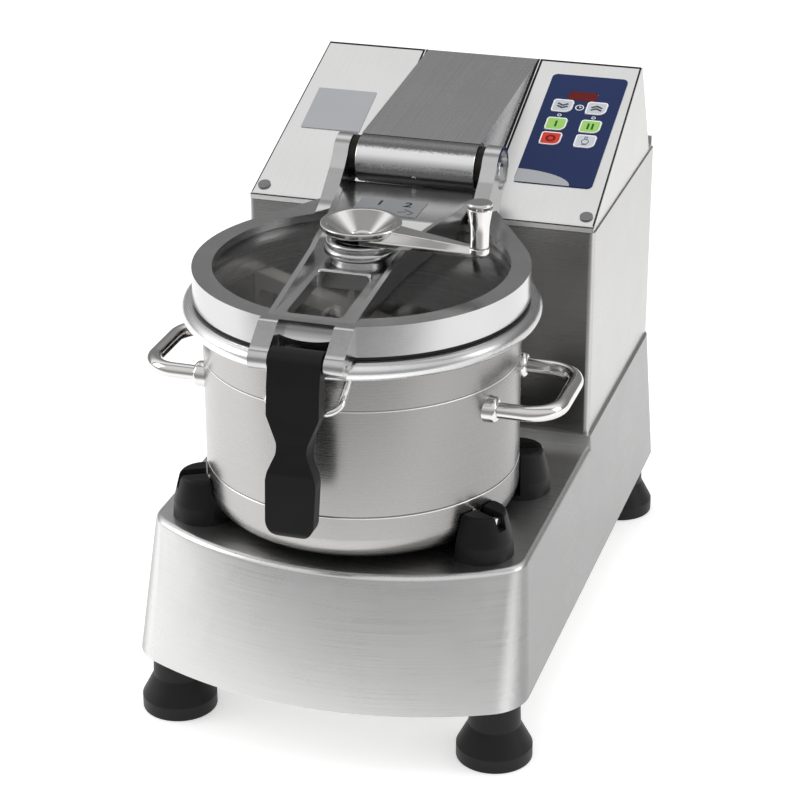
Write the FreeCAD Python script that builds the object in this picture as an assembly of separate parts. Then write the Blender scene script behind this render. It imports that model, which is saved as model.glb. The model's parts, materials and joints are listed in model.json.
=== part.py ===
import FreeCAD, Part

import math
import os

V = FreeCAD.Vector

# Bench bowl cutter in millimetres, +Z up, +X the machine's right, front facing -Y.
# Shapes are laid out about the bowl's axis; save() moves them so that the origin is the
# middle of the footprint on the table.

# Fits and gaps
RUN = 0.05                 # radial clearance of a shaft or pin in its bore
GAP = 0.3                  # gap between pieces that lie against each other
SHEET = 2.0                # casing sheet
FAR = 600.0                # further than the machine reaches, for cuts
CUT = 10.0                 # how far a cut runs past a sheet

# Feet
FOOT_H = 69.0
FOOT_R = 36.5
FOOT_RIM_H = 14.0
FOOT_CONE_TOP = 36.0
FOOT_NECK_R = 24.0
FOOT_SIDE_INSET = 33.5
FOOT_FRONT_INSET = 81.0
FOOT_REAR_INSET = 29.0

# Base casing, flared towards the table
BASE_H = 131.0
BASE_FRONT_HIGH = -149.5
BASE_FLARE_FRONT = 29.5
BASE_FLARE_SIDE = 10.5
BASE_ARC_LOW = 380.0
BASE_ARC_HIGH = 290.0
BASE_CORNER_LOW = 45.0
BASE_CORNER_HIGH = 30.0
BASE_REAR_CORNER = 22.0
BASE_SIDE_STEP = 3.0       # base stands out beyond the column's side
BASE_REAR_STEP = 7.0       # and behind it
DECK_EDGE_R = 5.0
DECK_EDGE_STEPS = 4
PLINTH_H = 12.0
PLINTH_STEP = 4.0          # plinth stands out before the column
BASE_PLATE_T = 3.0
WIRE_WAY_HALF = 120.0
WIRE_WAY_INSET = 40.0

# Bowl
BOWL_R = 150.0
BOWL_WALL = 2.0
BOWL_H = 207.5
BOWL_LIFT = 7.0            # bowl's floor above the deck
BOWL_CORNER = 26.0
BEAD_R = 8.5
BEAD_OVERHANG = 19.0
CHIMNEY_R = 33.0
CHIMNEY_H = 81.0
CHIMNEY_FOOT = 6.0
BAND_H = 49.0              # pressed line round the bowl
BAND_DEPTH = 0.6

# Bowl handles
HANDLE_DROP = 76.5         # below the rim
HANDLE_TUBE_R = 7.5
HANDLE_REACH = 50.5        # tube's middle line beyond the bowl's wall
HANDLE_HALF = 54.0
HANDLE_BEND = 30.0
HANDLE_FLANGE_R = 12.5
HANDLE_FLANGE_T = 8.0
HANDLE_FLANGE_ROUND = 4.5

# Posts on the deck that hold the bowl by four pins
POST_ANGLE = 27.06
POST_OFFSET = 3.85         # post's axis beyond the bowl's wall
POST_R = 31.0
POST_SHOULDER_H = 16.0
POST_TOP_R = 23.0
POST_H = 44.0
POST_BOWL_GAP = 1.5
BOWL_PIN_H = 35.0
BOWL_PIN_R = 5.0
BOWL_PIN_LEN = 21.0
BOWL_PIN_SLOT = 0.6        # slot's clearance each side of the pin

# Lid
LID_LIFT = 3.5             # lid's wall above the bowl's rim
LID_H = 29.0
LID_OVERHANG = 8.0
LID_WALL = 8.0
LID_FLANGE = 19.0          # width of the ring round the windows
LID_PLATE_T = 8.0
LID_TAIL = 20.0            # plate ends this far before the hinge's axis
LID_EDGE_R = 3.0
ARM_RISE = 5.0             # arm's floor above the lid, at the boss
ARM_STEP_RUN = 30.0        # its slope behind the boss
ARM_FRONT_INSET = 12.0
ARM_HALF_FRONT = 41.0
ARM_HALF_MIDDLE = 44.0
ARM_HALF_REAR = 50.0
ARM_HALF_ROOT = 68.0
ARM_MIDDLE_Y = -20.0
ARM_REAR_Y = 40.0
ARM_SWEEP_R = 60.0
RIB_W = 5.0
RIB_RISE = 20.0            # ribs grow to this height above the lid
RIB_RUN = 150.0            # over this length
RIB_PROUD = 1.0            # ribs above the arm's rear floor
SLOT_LIP_R = 4.0
SLOT_HALF = 26.0
SLOT_FRONT_INSET = 20.0
SLOT_LENGTH = 86.0
WINDOW_T = 5.0
BOSS_R = 29.5
BOSS_RISE = 15.0           # cup's floor above the lid
BOSS_DEPTH = 14.0
BOSS_BEAD_R = 35.0
BOSS_BEAD_H = 8.5
BOSS_CUP_R = 33.0
BOSS_CUP_WALL = 6.0
BOSS_CUP_H = 10.0
SEAL_LIP = 1.0
LABEL_W = 64.0
LABEL_D = 32.0
LABEL_X = -4.0
LABEL_INSET = 38.0
LABEL_T = 0.8

# Lid hinge
HINGE_LIFT = 35.0          # axis above the lid's plate
HINGE_SET_BACK = 7.0       # axis behind the column's front
BARREL_R = 24.0
BARREL_HALF = 61.0
BUSH_T = 7.0
BUSH_R = 21.5
EAR_T = 15.5
EAR_R = 23.5
EAR_RIM = 4.0              # rim round the ear's sunk outer face
EAR_SUNK = 3.0
PIN_R = 8.0
PIN_END_INSET = 1.0
WEB_RUN = 120.0            # ear's web starts this far before the axis
WEB_FLAT_RUN = 72.0
WEB_CREST_RUN = 32.0
HOUSING_TOE = 30.0         # hinge housing's toe, up the panel
HOUSING_TOE_H = 22.0

# Latch and its catch
LATCH_STAND_OUT = 11.0     # pivot before the bowl's bead
LATCH_RISE = 2.0           # pivot above the lid's lower edge
LATCH_PIN_R = 4.0
LATCH_EYE_R = 12.0
LATCH_HALF = 24.5
LATCH_LEN = 158.0
LATCH_REACH = 33.0         # lever's front before the pivot
LATCH_HOOK_HALF = 12.0
LATCH_HOOK_T = 6.0
FORK_R = 10.0
FORK_GAP = 1.5
FORK_W = 18.0
FORK_HOLLOW_R = 20.0       # hollow in the lid's wall between the prongs
FORK_HOLLOW = 4.5
CATCH_ROD_R = 3.5
CATCH_HALF = 34.5
CATCH_BEND = 14.0
CATCH_STAND_OUT = 7.0      # bar before the bowl's bead
CATCH_DROP = 42.5          # bar below the rim
CATCH_ROOT_DROP = 21.5

# Lever's side: drop below the pivot, distance before it, corner radius
LATCH_BACK = ((85.0, 9.0, 8.0), (120.0, 17.0, 10.0))
LATCH_FRONT = ((118.0, 32.0, 20.0), (70.0, 22.0, 20.0), (18.0, 16.0, 10.0))
LATCH_FLAT = 75.0
LATCH_TIP_T = 15.0

# Lever's front: drop below the pivot, half width, corner radius
LATCH_SIDES = ((25.0, 24.5, 10.0), (75.0, 13.5, 25.0), (125.0, 26.0, 14.0), (157.0, 24.0, 16.0))

# Crank with its funnel
CRANK_REACH = 121.0
CRANK_ANGLE = -10.0
ARM_LIFT = 11.0            # crank's arm above the boss's floor
ARM_T = 9.0
ARM_TIP_R = 9.0
ARM_START = 12.0
ARM_WIDE = 54.0            # arm's width and height where it leaves the funnel
ARM_HIGH = 13.0
FUNNEL_R = 38.0
FUNNEL_H = 25.0
FUNNEL_RIM_W = 5.0
TUBE_R = 14.0
TUBE_BORE_R = 11.5
TUBE_DROP = 22.0           # tube's end below the lid's plate
COLLAR_R = 24.0
GRIP_H = 52.0
GRIP_LOW_R = 8.5
GRIP_TOP_R = 12.0
STUD_R = 4.0
STUD_HEAD_R = 11.5
STUD_HEAD_H = 3.0
STUD_HEAD_GAP = 2.0

# Scraper that the crank turns
TONGUE_T = 6.0
TONGUE_H = 9.0
SCRAPER_ANGLE = 60.0
SCRAPER_HUB_R = 13.0
SCRAPER_TUBE_GAP = 12.0    # what is poured in leaves between tube and hub
SCRAPER_DROP = 30.5        # bars below the rim
SCRAPER_W = 18.0
SCRAPER_ARM_T = 12.0
SCRAPER_BLADE_T = 5.5
SCRAPER_WALL_GAP = 1.5
SPIGOT_R = 6.0
SPIGOT_H = 13.0

# Rotor
SPINDLE_R = 12.0
HUB_R = 46.0
HUB_WALL = 6.0
HUB_CROWN = 10.0
HUB_FLOOR_GAP = 3.0
HUB_CHIMNEY_GAP = 2.0
CAP_R = 22.0
CAP_H = 22.0
BLADE_T = 2.5
BLADE_RING_W = 7.0
BLADE_TIP_GAP = 3.0
BLADE_LOW = 13.0           # lower blade above the bowl's inner floor
BLADE_PITCH = 28.0
BLADE_TURN = 90.0

# Bearings in their housing, hung under the deck
HOUSING_NECK_R = 29.0
HOUSING_ABOVE = 26.0
HOUSING_BELOW = 46.0
FLANGE_R = 70.0
FLANGE_T = 10.0
BEARING_R = 24.0
BEARING_H = 15.0
HOUSING_WALL = 10.0
SEAL_H = 6.0
BEARING_LIP = 4.0          # what holds a bearing in at each end

# Belt drive and motor
DRIVE_R = 40.0
DRIVEN_R = 56.0
PULLEY_W = 26.0
PULLEY_DROP = 10.0         # pulleys below the bearing housing
PULLEY_RIM = 3.0
BELT_T = 5.0
BELT_SIDE_GAP = 0.4
MOTOR_R = 78.0
MOTOR_H = 164.0
MOTOR_LIFT = 14.0
MOTOR_SHAFT_R = 11.0
MOTOR_BORE_H = 130.0
BRACKET_T = 8.0
BRACKET_FOOT_W = 18.0
BRACKET_HALF = 150.0
BRACKET_INSET = 25.0
CONTROLLER_HALF = 60.0
CONTROLLER_H = 130.0
CONTROLLER_D = 38.0
CONTROLLER_LIFT = 20.0

# Column and head
COL_HALF = 180.0
COL_DEPTH = 285.0
COL_SET_BACK = 14.0        # column's front behind the bowl's bead
COL_DROP = 19.0            # column's top below the lid's
COL_CORNER = 6.0
HEAD_INSET = 1.5
HEAD_LEAN = 7.0
HEAD_STRIP = 8.0
HEAD_BACK_RUN = 16.0
HEAD_FOLD = 6.0
HEAD_WAY_HALF = 130.0
HEAD_WAY_INSET = 30.0
PANEL_SET_BACK = 4.0
PANEL_STEP = 7.0
PANEL_RUN = 236.0
PANEL_RISE = 92.0
PANEL_T = 2.5
PLUG_INSET = 10.5
PLUG_S = 11.5
PLUG_R = 6.5
PLUG_T = 1.4
PLUG_SHANK_R = 3.0

# Rear cover, screws, gland and hook
REAR_OPEN_HALF = 140.0
REAR_OPEN_LIFT = 33.0
REAR_OPEN_H = 155.0
COVER_MARGIN = 14.0
COVER_T = 1.5
LOUVRE_ROWS = 5
LOUVRE_PITCH = 14.0
LOUVRE_H = 5.0
LOUVRE_W = 54.0
LOUVRE_STEP = 70.0
LOUVRE_INSET = 30.0
SCREW_R = 2.5
SCREW_PLAY = 0.2
SCREW_HEAD_R = 4.75
SCREW_HEAD_H = 2.8
SCREW_LEN = 12.0
PLATE_SCREW_INSET = 17.5
PLATE_SCREW_FIRST_Y = 20.0
PLATE_SCREW_PITCH = 160.0
GLAND_R = 10.0
GLAND_NUT_R = 15.0
GLAND_NUT_T = 6.0
GLAND_DOME_R = 11.5
GLAND_LEN = 18.0
GLAND_BORE_R = 5.0
GLAND_X = -120.0
GLAND_LIFT = 51.0
HOOK_X = 166.0
HOOK_W = 12.0
HOOK_H = 12.0
HOOK_T = 2.0

# Keypad, in the panel's own x and distance up the slope
FOIL_INSET = 8.0
FOIL_W = 80.5
FOIL_LOW = 53.5
FOIL_H = 176.5
FOIL_T = 0.8
FOIL_CORNER = 6.0
KEY_W = 21.5
KEY_H = 20.0
KEY_T = 1.0
KEY_STEM_W = 16.0
KEY_STEM_H = 14.0
KEY_SIDE = 22.5            # right-hand keys from the foil's right edge
KEY_PITCH = 36.0
KEY_RISES = (124.0, 94.3, 70.5)
KEY_TRAVEL = 0.6
DISPLAY_W = 30.2
DISPLAY_H = 14.2
DISPLAY_SIDE = 41.0
DISPLAY_RISE = 142.5
BOARD_DEPTH = 9.0
BOARD_T = 1.6
BOARD_MARGIN = 5.0
BOARD_LOW = 46.5
BOARD_H = 116.0
BOARD_POST_R = 2.5
BLANK_INSET = 12.5
BLANK_W = 64.0
BLANK_LOW = 106.5
BLANK_H = 66.5

# Heights that follow
BASE_BOTTOM = FOOT_H
DECK_Z = BASE_BOTTOM + BASE_H
PLINTH_Z = DECK_Z + PLINTH_H
BOWL_BOTTOM = DECK_Z + BOWL_LIFT
BOWL_FLOOR = BOWL_BOTTOM + BOWL_WALL
RIM_Z = BOWL_BOTTOM + BOWL_H
CHIMNEY_TOP = BOWL_BOTTOM + CHIMNEY_H
BAND_Z = BOWL_BOTTOM + BAND_H
HANDLE_Z = RIM_Z - HANDLE_DROP
BOWL_PIN_Z = DECK_Z + BOWL_PIN_H
LID_BOTTOM = RIM_Z + LID_LIFT
LID_TOP = LID_BOTTOM + LID_H
ARM_TOP = LID_TOP + ARM_RISE
RIB_TOP = LID_TOP + RIB_RISE
ARM_REAR_TOP = RIB_TOP - RIB_PROUD
BOSS_TOP = LID_TOP + BOSS_RISE
WINDOW_TOP = LID_TOP - LID_PLATE_T - GAP
HINGE_Z = LID_TOP + HINGE_LIFT
LATCH_Z = LID_BOTTOM + LATCH_RISE
CATCH_Z = RIM_Z - CATCH_DROP
CATCH_ROOT_Z = RIM_Z - CATCH_ROOT_DROP
COL_TOP = LID_TOP - COL_DROP
CRANK_Z = BOSS_TOP + ARM_LIFT
FUNNEL_TOP = BOSS_TOP + FUNNEL_H
GRIP_TOP = CRANK_Z + GRIP_H
TUBE_LOW = LID_TOP - TUBE_DROP
SCRAPER_TOP = TUBE_LOW - SCRAPER_TUBE_GAP
SCRAPER_LOW = BOWL_BOTTOM + BOWL_CORNER - 1.0
HUB_TOP = CHIMNEY_TOP + HUB_CHIMNEY_GAP + HUB_CROWN
CAP_TOP = HUB_TOP + CAP_H
HOUSING_TOP = DECK_Z + HOUSING_ABOVE
HOUSING_LOW = DECK_Z - HOUSING_BELOW
SEAL_Z = HOUSING_TOP - SEAL_H - 1.0
BEARING_Z = (HOUSING_LOW + BEARING_LIP, SEAL_Z - BEARING_LIP - BEARING_H)
PULLEY_Z = HOUSING_LOW - PULLEY_DROP - PULLEY_W
MOTOR_LOW = PLINTH_Z + MOTOR_LIFT
REAR_OPEN_LOW = PLINTH_Z + REAR_OPEN_LIFT
REAR_OPEN_HIGH = REAR_OPEN_LOW + REAR_OPEN_H
GLAND_Z = BASE_BOTTOM + GLAND_LIFT

# Places that follow
BEAD_OUT = BOWL_R + BEAD_OVERHANG
WALL_IN = BOWL_R - BOWL_WALL
LID_R = BOWL_R + LID_OVERHANG
LID_INNER_R = LID_R - LID_FLANGE
COL_FRONT = BEAD_OUT + COL_SET_BACK
COL_REAR = COL_FRONT + COL_DEPTH
PLINTH_Y = COL_FRONT - PLINTH_STEP
BASE_REAR = COL_REAR + BASE_REAR_STEP
BASE_HALF_HIGH = COL_HALF + BASE_SIDE_STEP
BASE_HALF_LOW = BASE_HALF_HIGH + BASE_FLARE_SIDE
BASE_FRONT_LOW = BASE_FRONT_HIGH - BASE_FLARE_FRONT
FRONT_LEAN = BASE_FLARE_FRONT / (PLINTH_Z - BASE_BOTTOM)
FOOT_X = BASE_HALF_LOW - FOOT_SIDE_INSET
FOOT_FRONT_Y = BASE_FRONT_LOW + FOOT_FRONT_INSET
FOOT_REAR_Y = BASE_REAR - FOOT_REAR_INSET
POST_REACH = BOWL_R + POST_OFFSET
HINGE_Y = COL_FRONT + HINGE_SET_BACK
LATCH_Y = -BEAD_OUT - LATCH_STAND_OUT
CATCH_Y = -BEAD_OUT - CATCH_STAND_OUT
FORK_IN = LATCH_HALF + FORK_GAP
FORK_OUT = FORK_IN + FORK_W
BUSH_IN = BARREL_HALF + GAP
BUSH_OUT = BUSH_IN + BUSH_T
EAR_IN = BUSH_OUT + GAP
EAR_OUT = EAR_IN + EAR_T
MOTOR_Y = (COL_FRONT + COL_REAR) / 2
HEAD_HALF_LOW = COL_HALF - HEAD_INSET
HEAD_HALF_HIGH = HEAD_HALF_LOW - HEAD_LEAN
PANEL_LOW_Y = COL_FRONT + PANEL_SET_BACK
PANEL_LOW_Z = COL_TOP + PANEL_STEP
PANEL_HIGH_Y = PANEL_LOW_Y + PANEL_RUN
PANEL_HIGH_Z = PANEL_LOW_Z + PANEL_RISE
HEAD_FRONT = PANEL_LOW_Y - SHEET
HEAD_TOP_REAR = PANEL_HIGH_Y + HEAD_STRIP
HEAD_BACK = HEAD_TOP_REAR + HEAD_BACK_RUN
SLOPE_LEN = math.hypot(PANEL_RUN, PANEL_RISE)
SLOPE_Y = PANEL_RUN / SLOPE_LEN
SLOPE_Z = PANEL_RISE / SLOPE_LEN
BLADE_R = WALL_IN - SCRAPER_WALL_GAP - SCRAPER_BLADE_T - BLADE_TIP_GAP
GLAND_END = BASE_REAR + GLAND_LEN
PLUG_X = HEAD_HALF_LOW - PLUG_INSET
FOIL_RIGHT = HEAD_HALF_HIGH - FOIL_INSET
FOIL_LEFT = FOIL_RIGHT - FOIL_W
KEY_COLUMNS = (FOIL_RIGHT - KEY_SIDE - KEY_PITCH, FOIL_RIGHT - KEY_SIDE)
KEY_ROWS = [FOIL_LOW + rise for rise in KEY_RISES]
BOARD_X = (FOIL_LEFT + BOARD_MARGIN, FOIL_RIGHT - BOARD_MARGIN)
BOARD_S = (FOIL_LOW + BOARD_LOW, FOIL_LOW + BOARD_LOW + BOARD_H)
BLANK_LEFT = BLANK_INSET - HEAD_HALF_HIGH
PLATE_SCREW_X = BASE_HALF_LOW - PLATE_SCREW_INSET
COVER_SCREW_X = REAR_OPEN_HALF + COVER_MARGIN / 2
MID_Y = (GLAND_END + LATCH_Y - LATCH_REACH) / 2


def save(name, shape):
    """Write one node, moved from the bowl's axis to the middle of the footprint."""
    out = shape.removeSplitter() if shape.ShapeType != "Compound" else shape
    out.translate(V(0, -MID_Y, 0))
    out.exportStep(f"parts/{name}.step")
    print(f"{name}: {len(out.Solids)} solid(s), {out.Volume / 1000:.1f} cm3, {out.isValid()}")


# Helpers

def box(x0, x1, y0, y1, z0, z1):
    return Part.makeBox(x1 - x0, y1 - y0, z1 - z0, V(x0, y0, z0))


def disc(r, z0, z1, x=0.0, y=0.0):
    return Part.makeCylinder(r, z1 - z0, V(x, y, z0))


def rod(r, start, end):
    run = V(*end) - V(*start)
    return Part.makeCylinder(r, run.Length, V(*start), run)


def cross_rod(r, x0, x1, y, z):
    """A rod along X at a height and a depth."""
    return rod(r, (x0, y, z), (x1, y, z))


def panel_rod(r, x, s, n0, n1):
    """A rod square to the control panel."""
    return rod(r, tuple(on_panel(x, s, n0)), tuple(on_panel(x, s, n1)))


def ring(r_out, r_in, z0, z1):
    return disc(r_out, z0, z1).cut(disc(r_in, z0, z1))


def rounded_wire(points, place, closed=True):
    """A wire through (u, v, radius) corners, with each corner rounded by its radius."""
    count = len(points)
    corners = []
    for i, (u, v, r) in enumerate(points):
        here = V(u, v, 0)
        if r == 0 or (not closed and i in (0, count - 1)):
            corners.append((here, here, None))
            continue
        to_last = (V(*points[i - 1][:2], 0) - here).normalize()
        to_next = (V(*points[(i + 1) % count][:2], 0) - here).normalize()
        half = to_last.getAngle(to_next) / 2
        if half > math.radians(89.9):
            corners.append((here, here, None))
            continue
        cut = r / math.tan(half)
        middle = (to_last + to_next).normalize()
        top = here + middle * (r / math.sin(half) - r)
        corners.append((here + to_last * cut, here + to_next * cut, top))
    edges = []
    for i, (start, end, top) in enumerate(corners):
        if top is not None:
            edges.append(Part.Arc(place(start), place(top), place(end)).toShape())
        if i == count - 1 and not closed:
            break
        following = corners[(i + 1) % count][0]
        if end.distanceToPoint(following) > 1e-6:
            edges.append(Part.makeLine(place(end), place(following)))
    return Part.Wire(edges)


def prism_x(points, x0, x1):
    """A (y, z, radius) outline drawn out along X."""
    wire = rounded_wire(points, lambda p: V(x0, p.x, p.y))
    return Part.Face(wire).extrude(V(x1 - x0, 0, 0))


def prism_y(points, y0, y1):
    """An (x, z, radius) outline drawn out along Y."""
    wire = rounded_wire(points, lambda p: V(p.x, y0, p.y))
    return Part.Face(wire).extrude(V(0, y1 - y0, 0))


def prism_z(points, z0, z1):
    """An (x, y, radius) outline drawn out along Z."""
    wire = rounded_wire(points, lambda p: V(p.x, p.y, z0))
    return Part.Face(wire).extrude(V(0, 0, z1 - z0))


def turned(points, x=0.0, y=0.0):
    """A (radius, z, corner radius) outline turned about a vertical axis."""
    wire = rounded_wire(points, lambda p: V(x + p.x, y, p.y))
    return Part.Face(wire).revolve(V(x, y, 0), V(0, 0, 1), 360)


def rectangle(u0, u1, v0, v1, r):
    return [(u0, v0, r), (u1, v0, r), (u1, v1, r), (u0, v1, r)]


def round_z(shape, angle):
    """Turn a shape about the bowl's axis."""
    shape.rotate(V(0, 0, 0), V(0, 0, 1), angle)
    return shape


def mirrored(shape):
    return shape.mirror(V(0, 0, 0), V(1, 0, 0))


def both_sides(shape):
    return Part.makeCompound([shape, mirrored(shape)])


def on_panel(x, s, n=0.0):
    """Point at x, s up the slope from its lower edge and n above its surface."""
    return V(x, PANEL_LOW_Y + s * SLOPE_Y - n * SLOPE_Z, PANEL_LOW_Z + s * SLOPE_Z + n * SLOPE_Y)


def panel_prism(points, n0, n1):
    """An (x, s, radius) outline on the panel, drawn out along its normal."""
    wire = rounded_wire(points, lambda p: on_panel(p.x, p.y, n0))
    return Part.Face(wire).extrude(on_panel(0, 0, n1) - on_panel(0, 0, n0))


def panel_rect(x, s, w, h, r, n0, n1):
    """A rounded rectangle on the panel, given by its middle."""
    return panel_prism(rectangle(x - w / 2, x + w / 2, s - h / 2, s + h / 2, r), n0, n1)


# Base casing, its plate and the feet

def base_outline(share, inset, z):
    """Outline of the base at a share of its height (0 bottom, 1 plinth), moved in by inset."""
    half = BASE_HALF_LOW + share * (BASE_HALF_HIGH - BASE_HALF_LOW) - inset
    front = BASE_FRONT_LOW + share * (BASE_FRONT_HIGH - BASE_FRONT_LOW) + inset
    arc = BASE_ARC_LOW + share * (BASE_ARC_HIGH - BASE_ARC_LOW) - inset
    corner = BASE_CORNER_LOW + share * (BASE_CORNER_HIGH - BASE_CORNER_LOW) - inset
    rear = BASE_REAR - inset
    rear_corner = BASE_REAR_CORNER - inset
    arc_y = front + arc
    corner_x = half - corner
    corner_y = arc_y - math.sqrt((arc - corner) ** 2 - corner_x ** 2)
    lean = math.atan2(corner_x, arc_y - corner_y)
    mid = (math.pi / 2 + lean) / 2
    meet = V(arc * math.sin(lean), arc_y - arc * math.cos(lean), z)
    top = V(corner_x + corner * math.sin(mid), corner_y - corner * math.cos(mid), z)
    side = V(half, corner_y, z)
    back = V(half, rear - rear_corner, z)
    turn = rear_corner * (1 - math.sqrt(0.5))
    back_top = V(half - turn, rear - turn, z)
    back_end = V(half - rear_corner, rear, z)

    def left(p):
        return V(-p.x, p.y, p.z)

    return Part.Wire([
        Part.Arc(left(meet), V(0, front, z), meet).toShape(),
        Part.Arc(meet, top, side).toShape(),
        Part.makeLine(side, back),
        Part.Arc(back, back_top, back_end).toShape(),
        Part.makeLine(back_end, left(back_end)),
        Part.Arc(left(back_end), left(back_top), left(back)).toShape(),
        Part.makeLine(left(back), left(side)),
        Part.Arc(left(side), left(top), left(meet)).toShape(),
    ])


def height_share(z):
    return (z - BASE_BOTTOM) / (PLINTH_Z - BASE_BOTTOM)


def base_block(inset, z0, z1):
    """The flared block between two heights, with its front part cut down to the deck."""
    outlines = [base_outline(height_share(z), inset, z) for z in (z0, z1)]
    block = Part.makeLoft(outlines, True, True)
    return block.cut(box(-FAR, FAR, -FAR, PLINTH_Y + inset, DECK_Z - inset, FAR))


def deck_block():
    """The block under the deck, with a rounded upper edge."""
    outlines = [base_outline(0, 0, BASE_BOTTOM)]
    for step in range(DECK_EDGE_STEPS + 1):
        turn = math.pi / 2 * step / DECK_EDGE_STEPS
        z = DECK_Z - DECK_EDGE_R * (1 - math.sin(turn))
        outlines.append(base_outline(height_share(z), DECK_EDGE_R * (1 - math.cos(turn)), z))
    return Part.makeLoft(outlines, True, True)


def base_casing():
    """One shell with the rounded deck edge, open below, with holes for neck, wires and gland."""
    plinth = base_block(0, BASE_BOTTOM, PLINTH_Z).cut(box(-FAR, FAR, -FAR, PLINTH_Y, 0, FAR))
    deck = deck_block().cut(box(-FAR, FAR, PLINTH_Y, FAR, 0, FAR))
    casing = plinth.fuse(deck).cut(base_block(SHEET, BASE_BOTTOM - 5, PLINTH_Z - SHEET))
    neck_hole = disc(HOUSING_NECK_R + 2, DECK_Z - 10, DECK_Z + 10)
    wire_hole = box(-WIRE_WAY_HALF, WIRE_WAY_HALF, COL_FRONT + WIRE_WAY_INSET, COL_REAR - WIRE_WAY_INSET,
                    PLINTH_Z - 10, PLINTH_Z + 10)
    gland_hole = rod(GLAND_R + GAP, (GLAND_X, BASE_REAR - 10, GLAND_Z), (GLAND_X, BASE_REAR + 10, GLAND_Z))
    return casing.cut([neck_hole, wire_hole, gland_hole])


def plate_screws():
    """Places of the base plate's screws, three along each side."""
    return [(x, PLATE_SCREW_FIRST_Y + row * PLATE_SCREW_PITCH) for x in (-PLATE_SCREW_X, PLATE_SCREW_X)
            for row in range(3)]


def cover_screws():
    """Places (x, z) of the rear cover's screws, three along each side."""
    middle = (REAR_OPEN_LOW + REAR_OPEN_HIGH) / 2
    rise = (REAR_OPEN_H + COVER_MARGIN) / 2
    return [(x, middle + row * rise) for x in (-COVER_SCREW_X, COVER_SCREW_X) for row in (-1, 0, 1)]


def base_plate():
    low = base_outline(0, SHEET + GAP + BASE_PLATE_T * FRONT_LEAN, BASE_BOTTOM)
    plate = Part.Face(low).extrude(V(0, 0, BASE_PLATE_T))
    holes = [disc(SCREW_R + SCREW_PLAY, BASE_BOTTOM - CUT, BASE_BOTTOM + CUT, x, y)
             for x, y in plate_screws()]
    return plate.cut(holes)


def screw_up(x, y, z):
    """A pan head screw driven up from below; z is the face under its head."""
    head = turned([(0, z - SCREW_HEAD_H, 0), (SCREW_HEAD_R, z - SCREW_HEAD_H, 1.2),
                   (SCREW_HEAD_R, z, 0), (0, z, 0)], x, y)
    return head.fuse(disc(SCREW_R, z, z + SCREW_LEN, x, y))


def casing_screws():
    """The same pan head screw holds the base plate from below and the rear cover."""
    screws = [screw_up(x, y, BASE_BOTTOM) for x, y in plate_screws()]
    for x, z in cover_screws():
        screw = screw_up(0, 0, 0)
        screw.rotate(V(0, 0, 0), V(1, 0, 0), 90)
        screw.translate(V(x, COL_REAR + COVER_T, z))
        screws.append(screw)
    return Part.makeCompound(screws)


def foot(x, y):
    """A rubber cup foot: rim, cone and neck."""
    return turned([(0, 0, 0), (FOOT_R, 0, 1.5), (FOOT_R, FOOT_RIM_H, 1.5),
                   (FOOT_NECK_R + 1, FOOT_CONE_TOP, 2), (FOOT_NECK_R, BASE_BOTTOM, 0),
                   (0, BASE_BOTTOM, 0)], x, y)


# Column, rear cover and head

def rounded_block(half, y0, y1, z0, z1, r):
    return prism_z(rectangle(-half, half, y0, y1, r), z0, z1)


def screw_holes_rear():
    return [rod(SCREW_R + SCREW_PLAY, (x, COL_REAR - CUT, z), (x, COL_REAR + CUT, z))
            for x, z in cover_screws()]


def column_housing():
    """Folded shell open below, with a window for the rear cover and a way up to the head."""
    outer = rounded_block(COL_HALF, COL_FRONT, COL_REAR, PLINTH_Z, COL_TOP, COL_CORNER)
    inner = rounded_block(COL_HALF - SHEET, COL_FRONT + SHEET, COL_REAR - SHEET,
                          PLINTH_Z - 1, COL_TOP - SHEET, COL_CORNER - SHEET)
    opening = box(-REAR_OPEN_HALF, REAR_OPEN_HALF, COL_REAR - CUT, COL_REAR + CUT,
                  REAR_OPEN_LOW, REAR_OPEN_HIGH)
    head_way = box(-HEAD_WAY_HALF, HEAD_WAY_HALF, COL_FRONT + HEAD_WAY_INSET, HEAD_BACK - HEAD_WAY_INSET,
                   COL_TOP - 10, COL_TOP + 10)
    return outer.cut([inner, opening, head_way] + screw_holes_rear())


def rear_cover():
    """Plate over the rear window with rows of louvres."""
    half = REAR_OPEN_HALF + COVER_MARGIN
    plate = prism_y(rectangle(-half, half, REAR_OPEN_LOW - COVER_MARGIN, REAR_OPEN_HIGH + COVER_MARGIN, 6),
                    COL_REAR, COL_REAR + COVER_T)
    slots = []
    for row in range(LOUVRE_ROWS):
        z = REAR_OPEN_HIGH - LOUVRE_INSET - row * LOUVRE_PITCH
        for x in (-LOUVRE_STEP, 0.0, LOUVRE_STEP):
            slots.append(prism_y(rectangle(x - LOUVRE_W / 2, x + LOUVRE_W / 2, z, z + LOUVRE_H,
                                           LOUVRE_H / 2 - 0.1), COL_REAR - 5, COL_REAR + 5))
    return plate.cut(slots + screw_holes_rear())


def lean_in(block, inset):
    """Cut the head's leaning sides off a block."""
    rise = PANEL_HIGH_Z - COL_TOP
    reach = 50.0
    low = HEAD_HALF_LOW - inset + HEAD_LEAN * reach / rise
    high = HEAD_HALF_HIGH - inset - HEAD_LEAN * reach / rise
    side = prism_y([(low, COL_TOP - reach, 0), (FAR, COL_TOP - reach, 0),
                    (FAR, PANEL_HIGH_Z + reach, 0), (high, PANEL_HIGH_Z + reach, 0)], 0, FAR)
    return block.cut([side, mirrored(side)])


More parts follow.
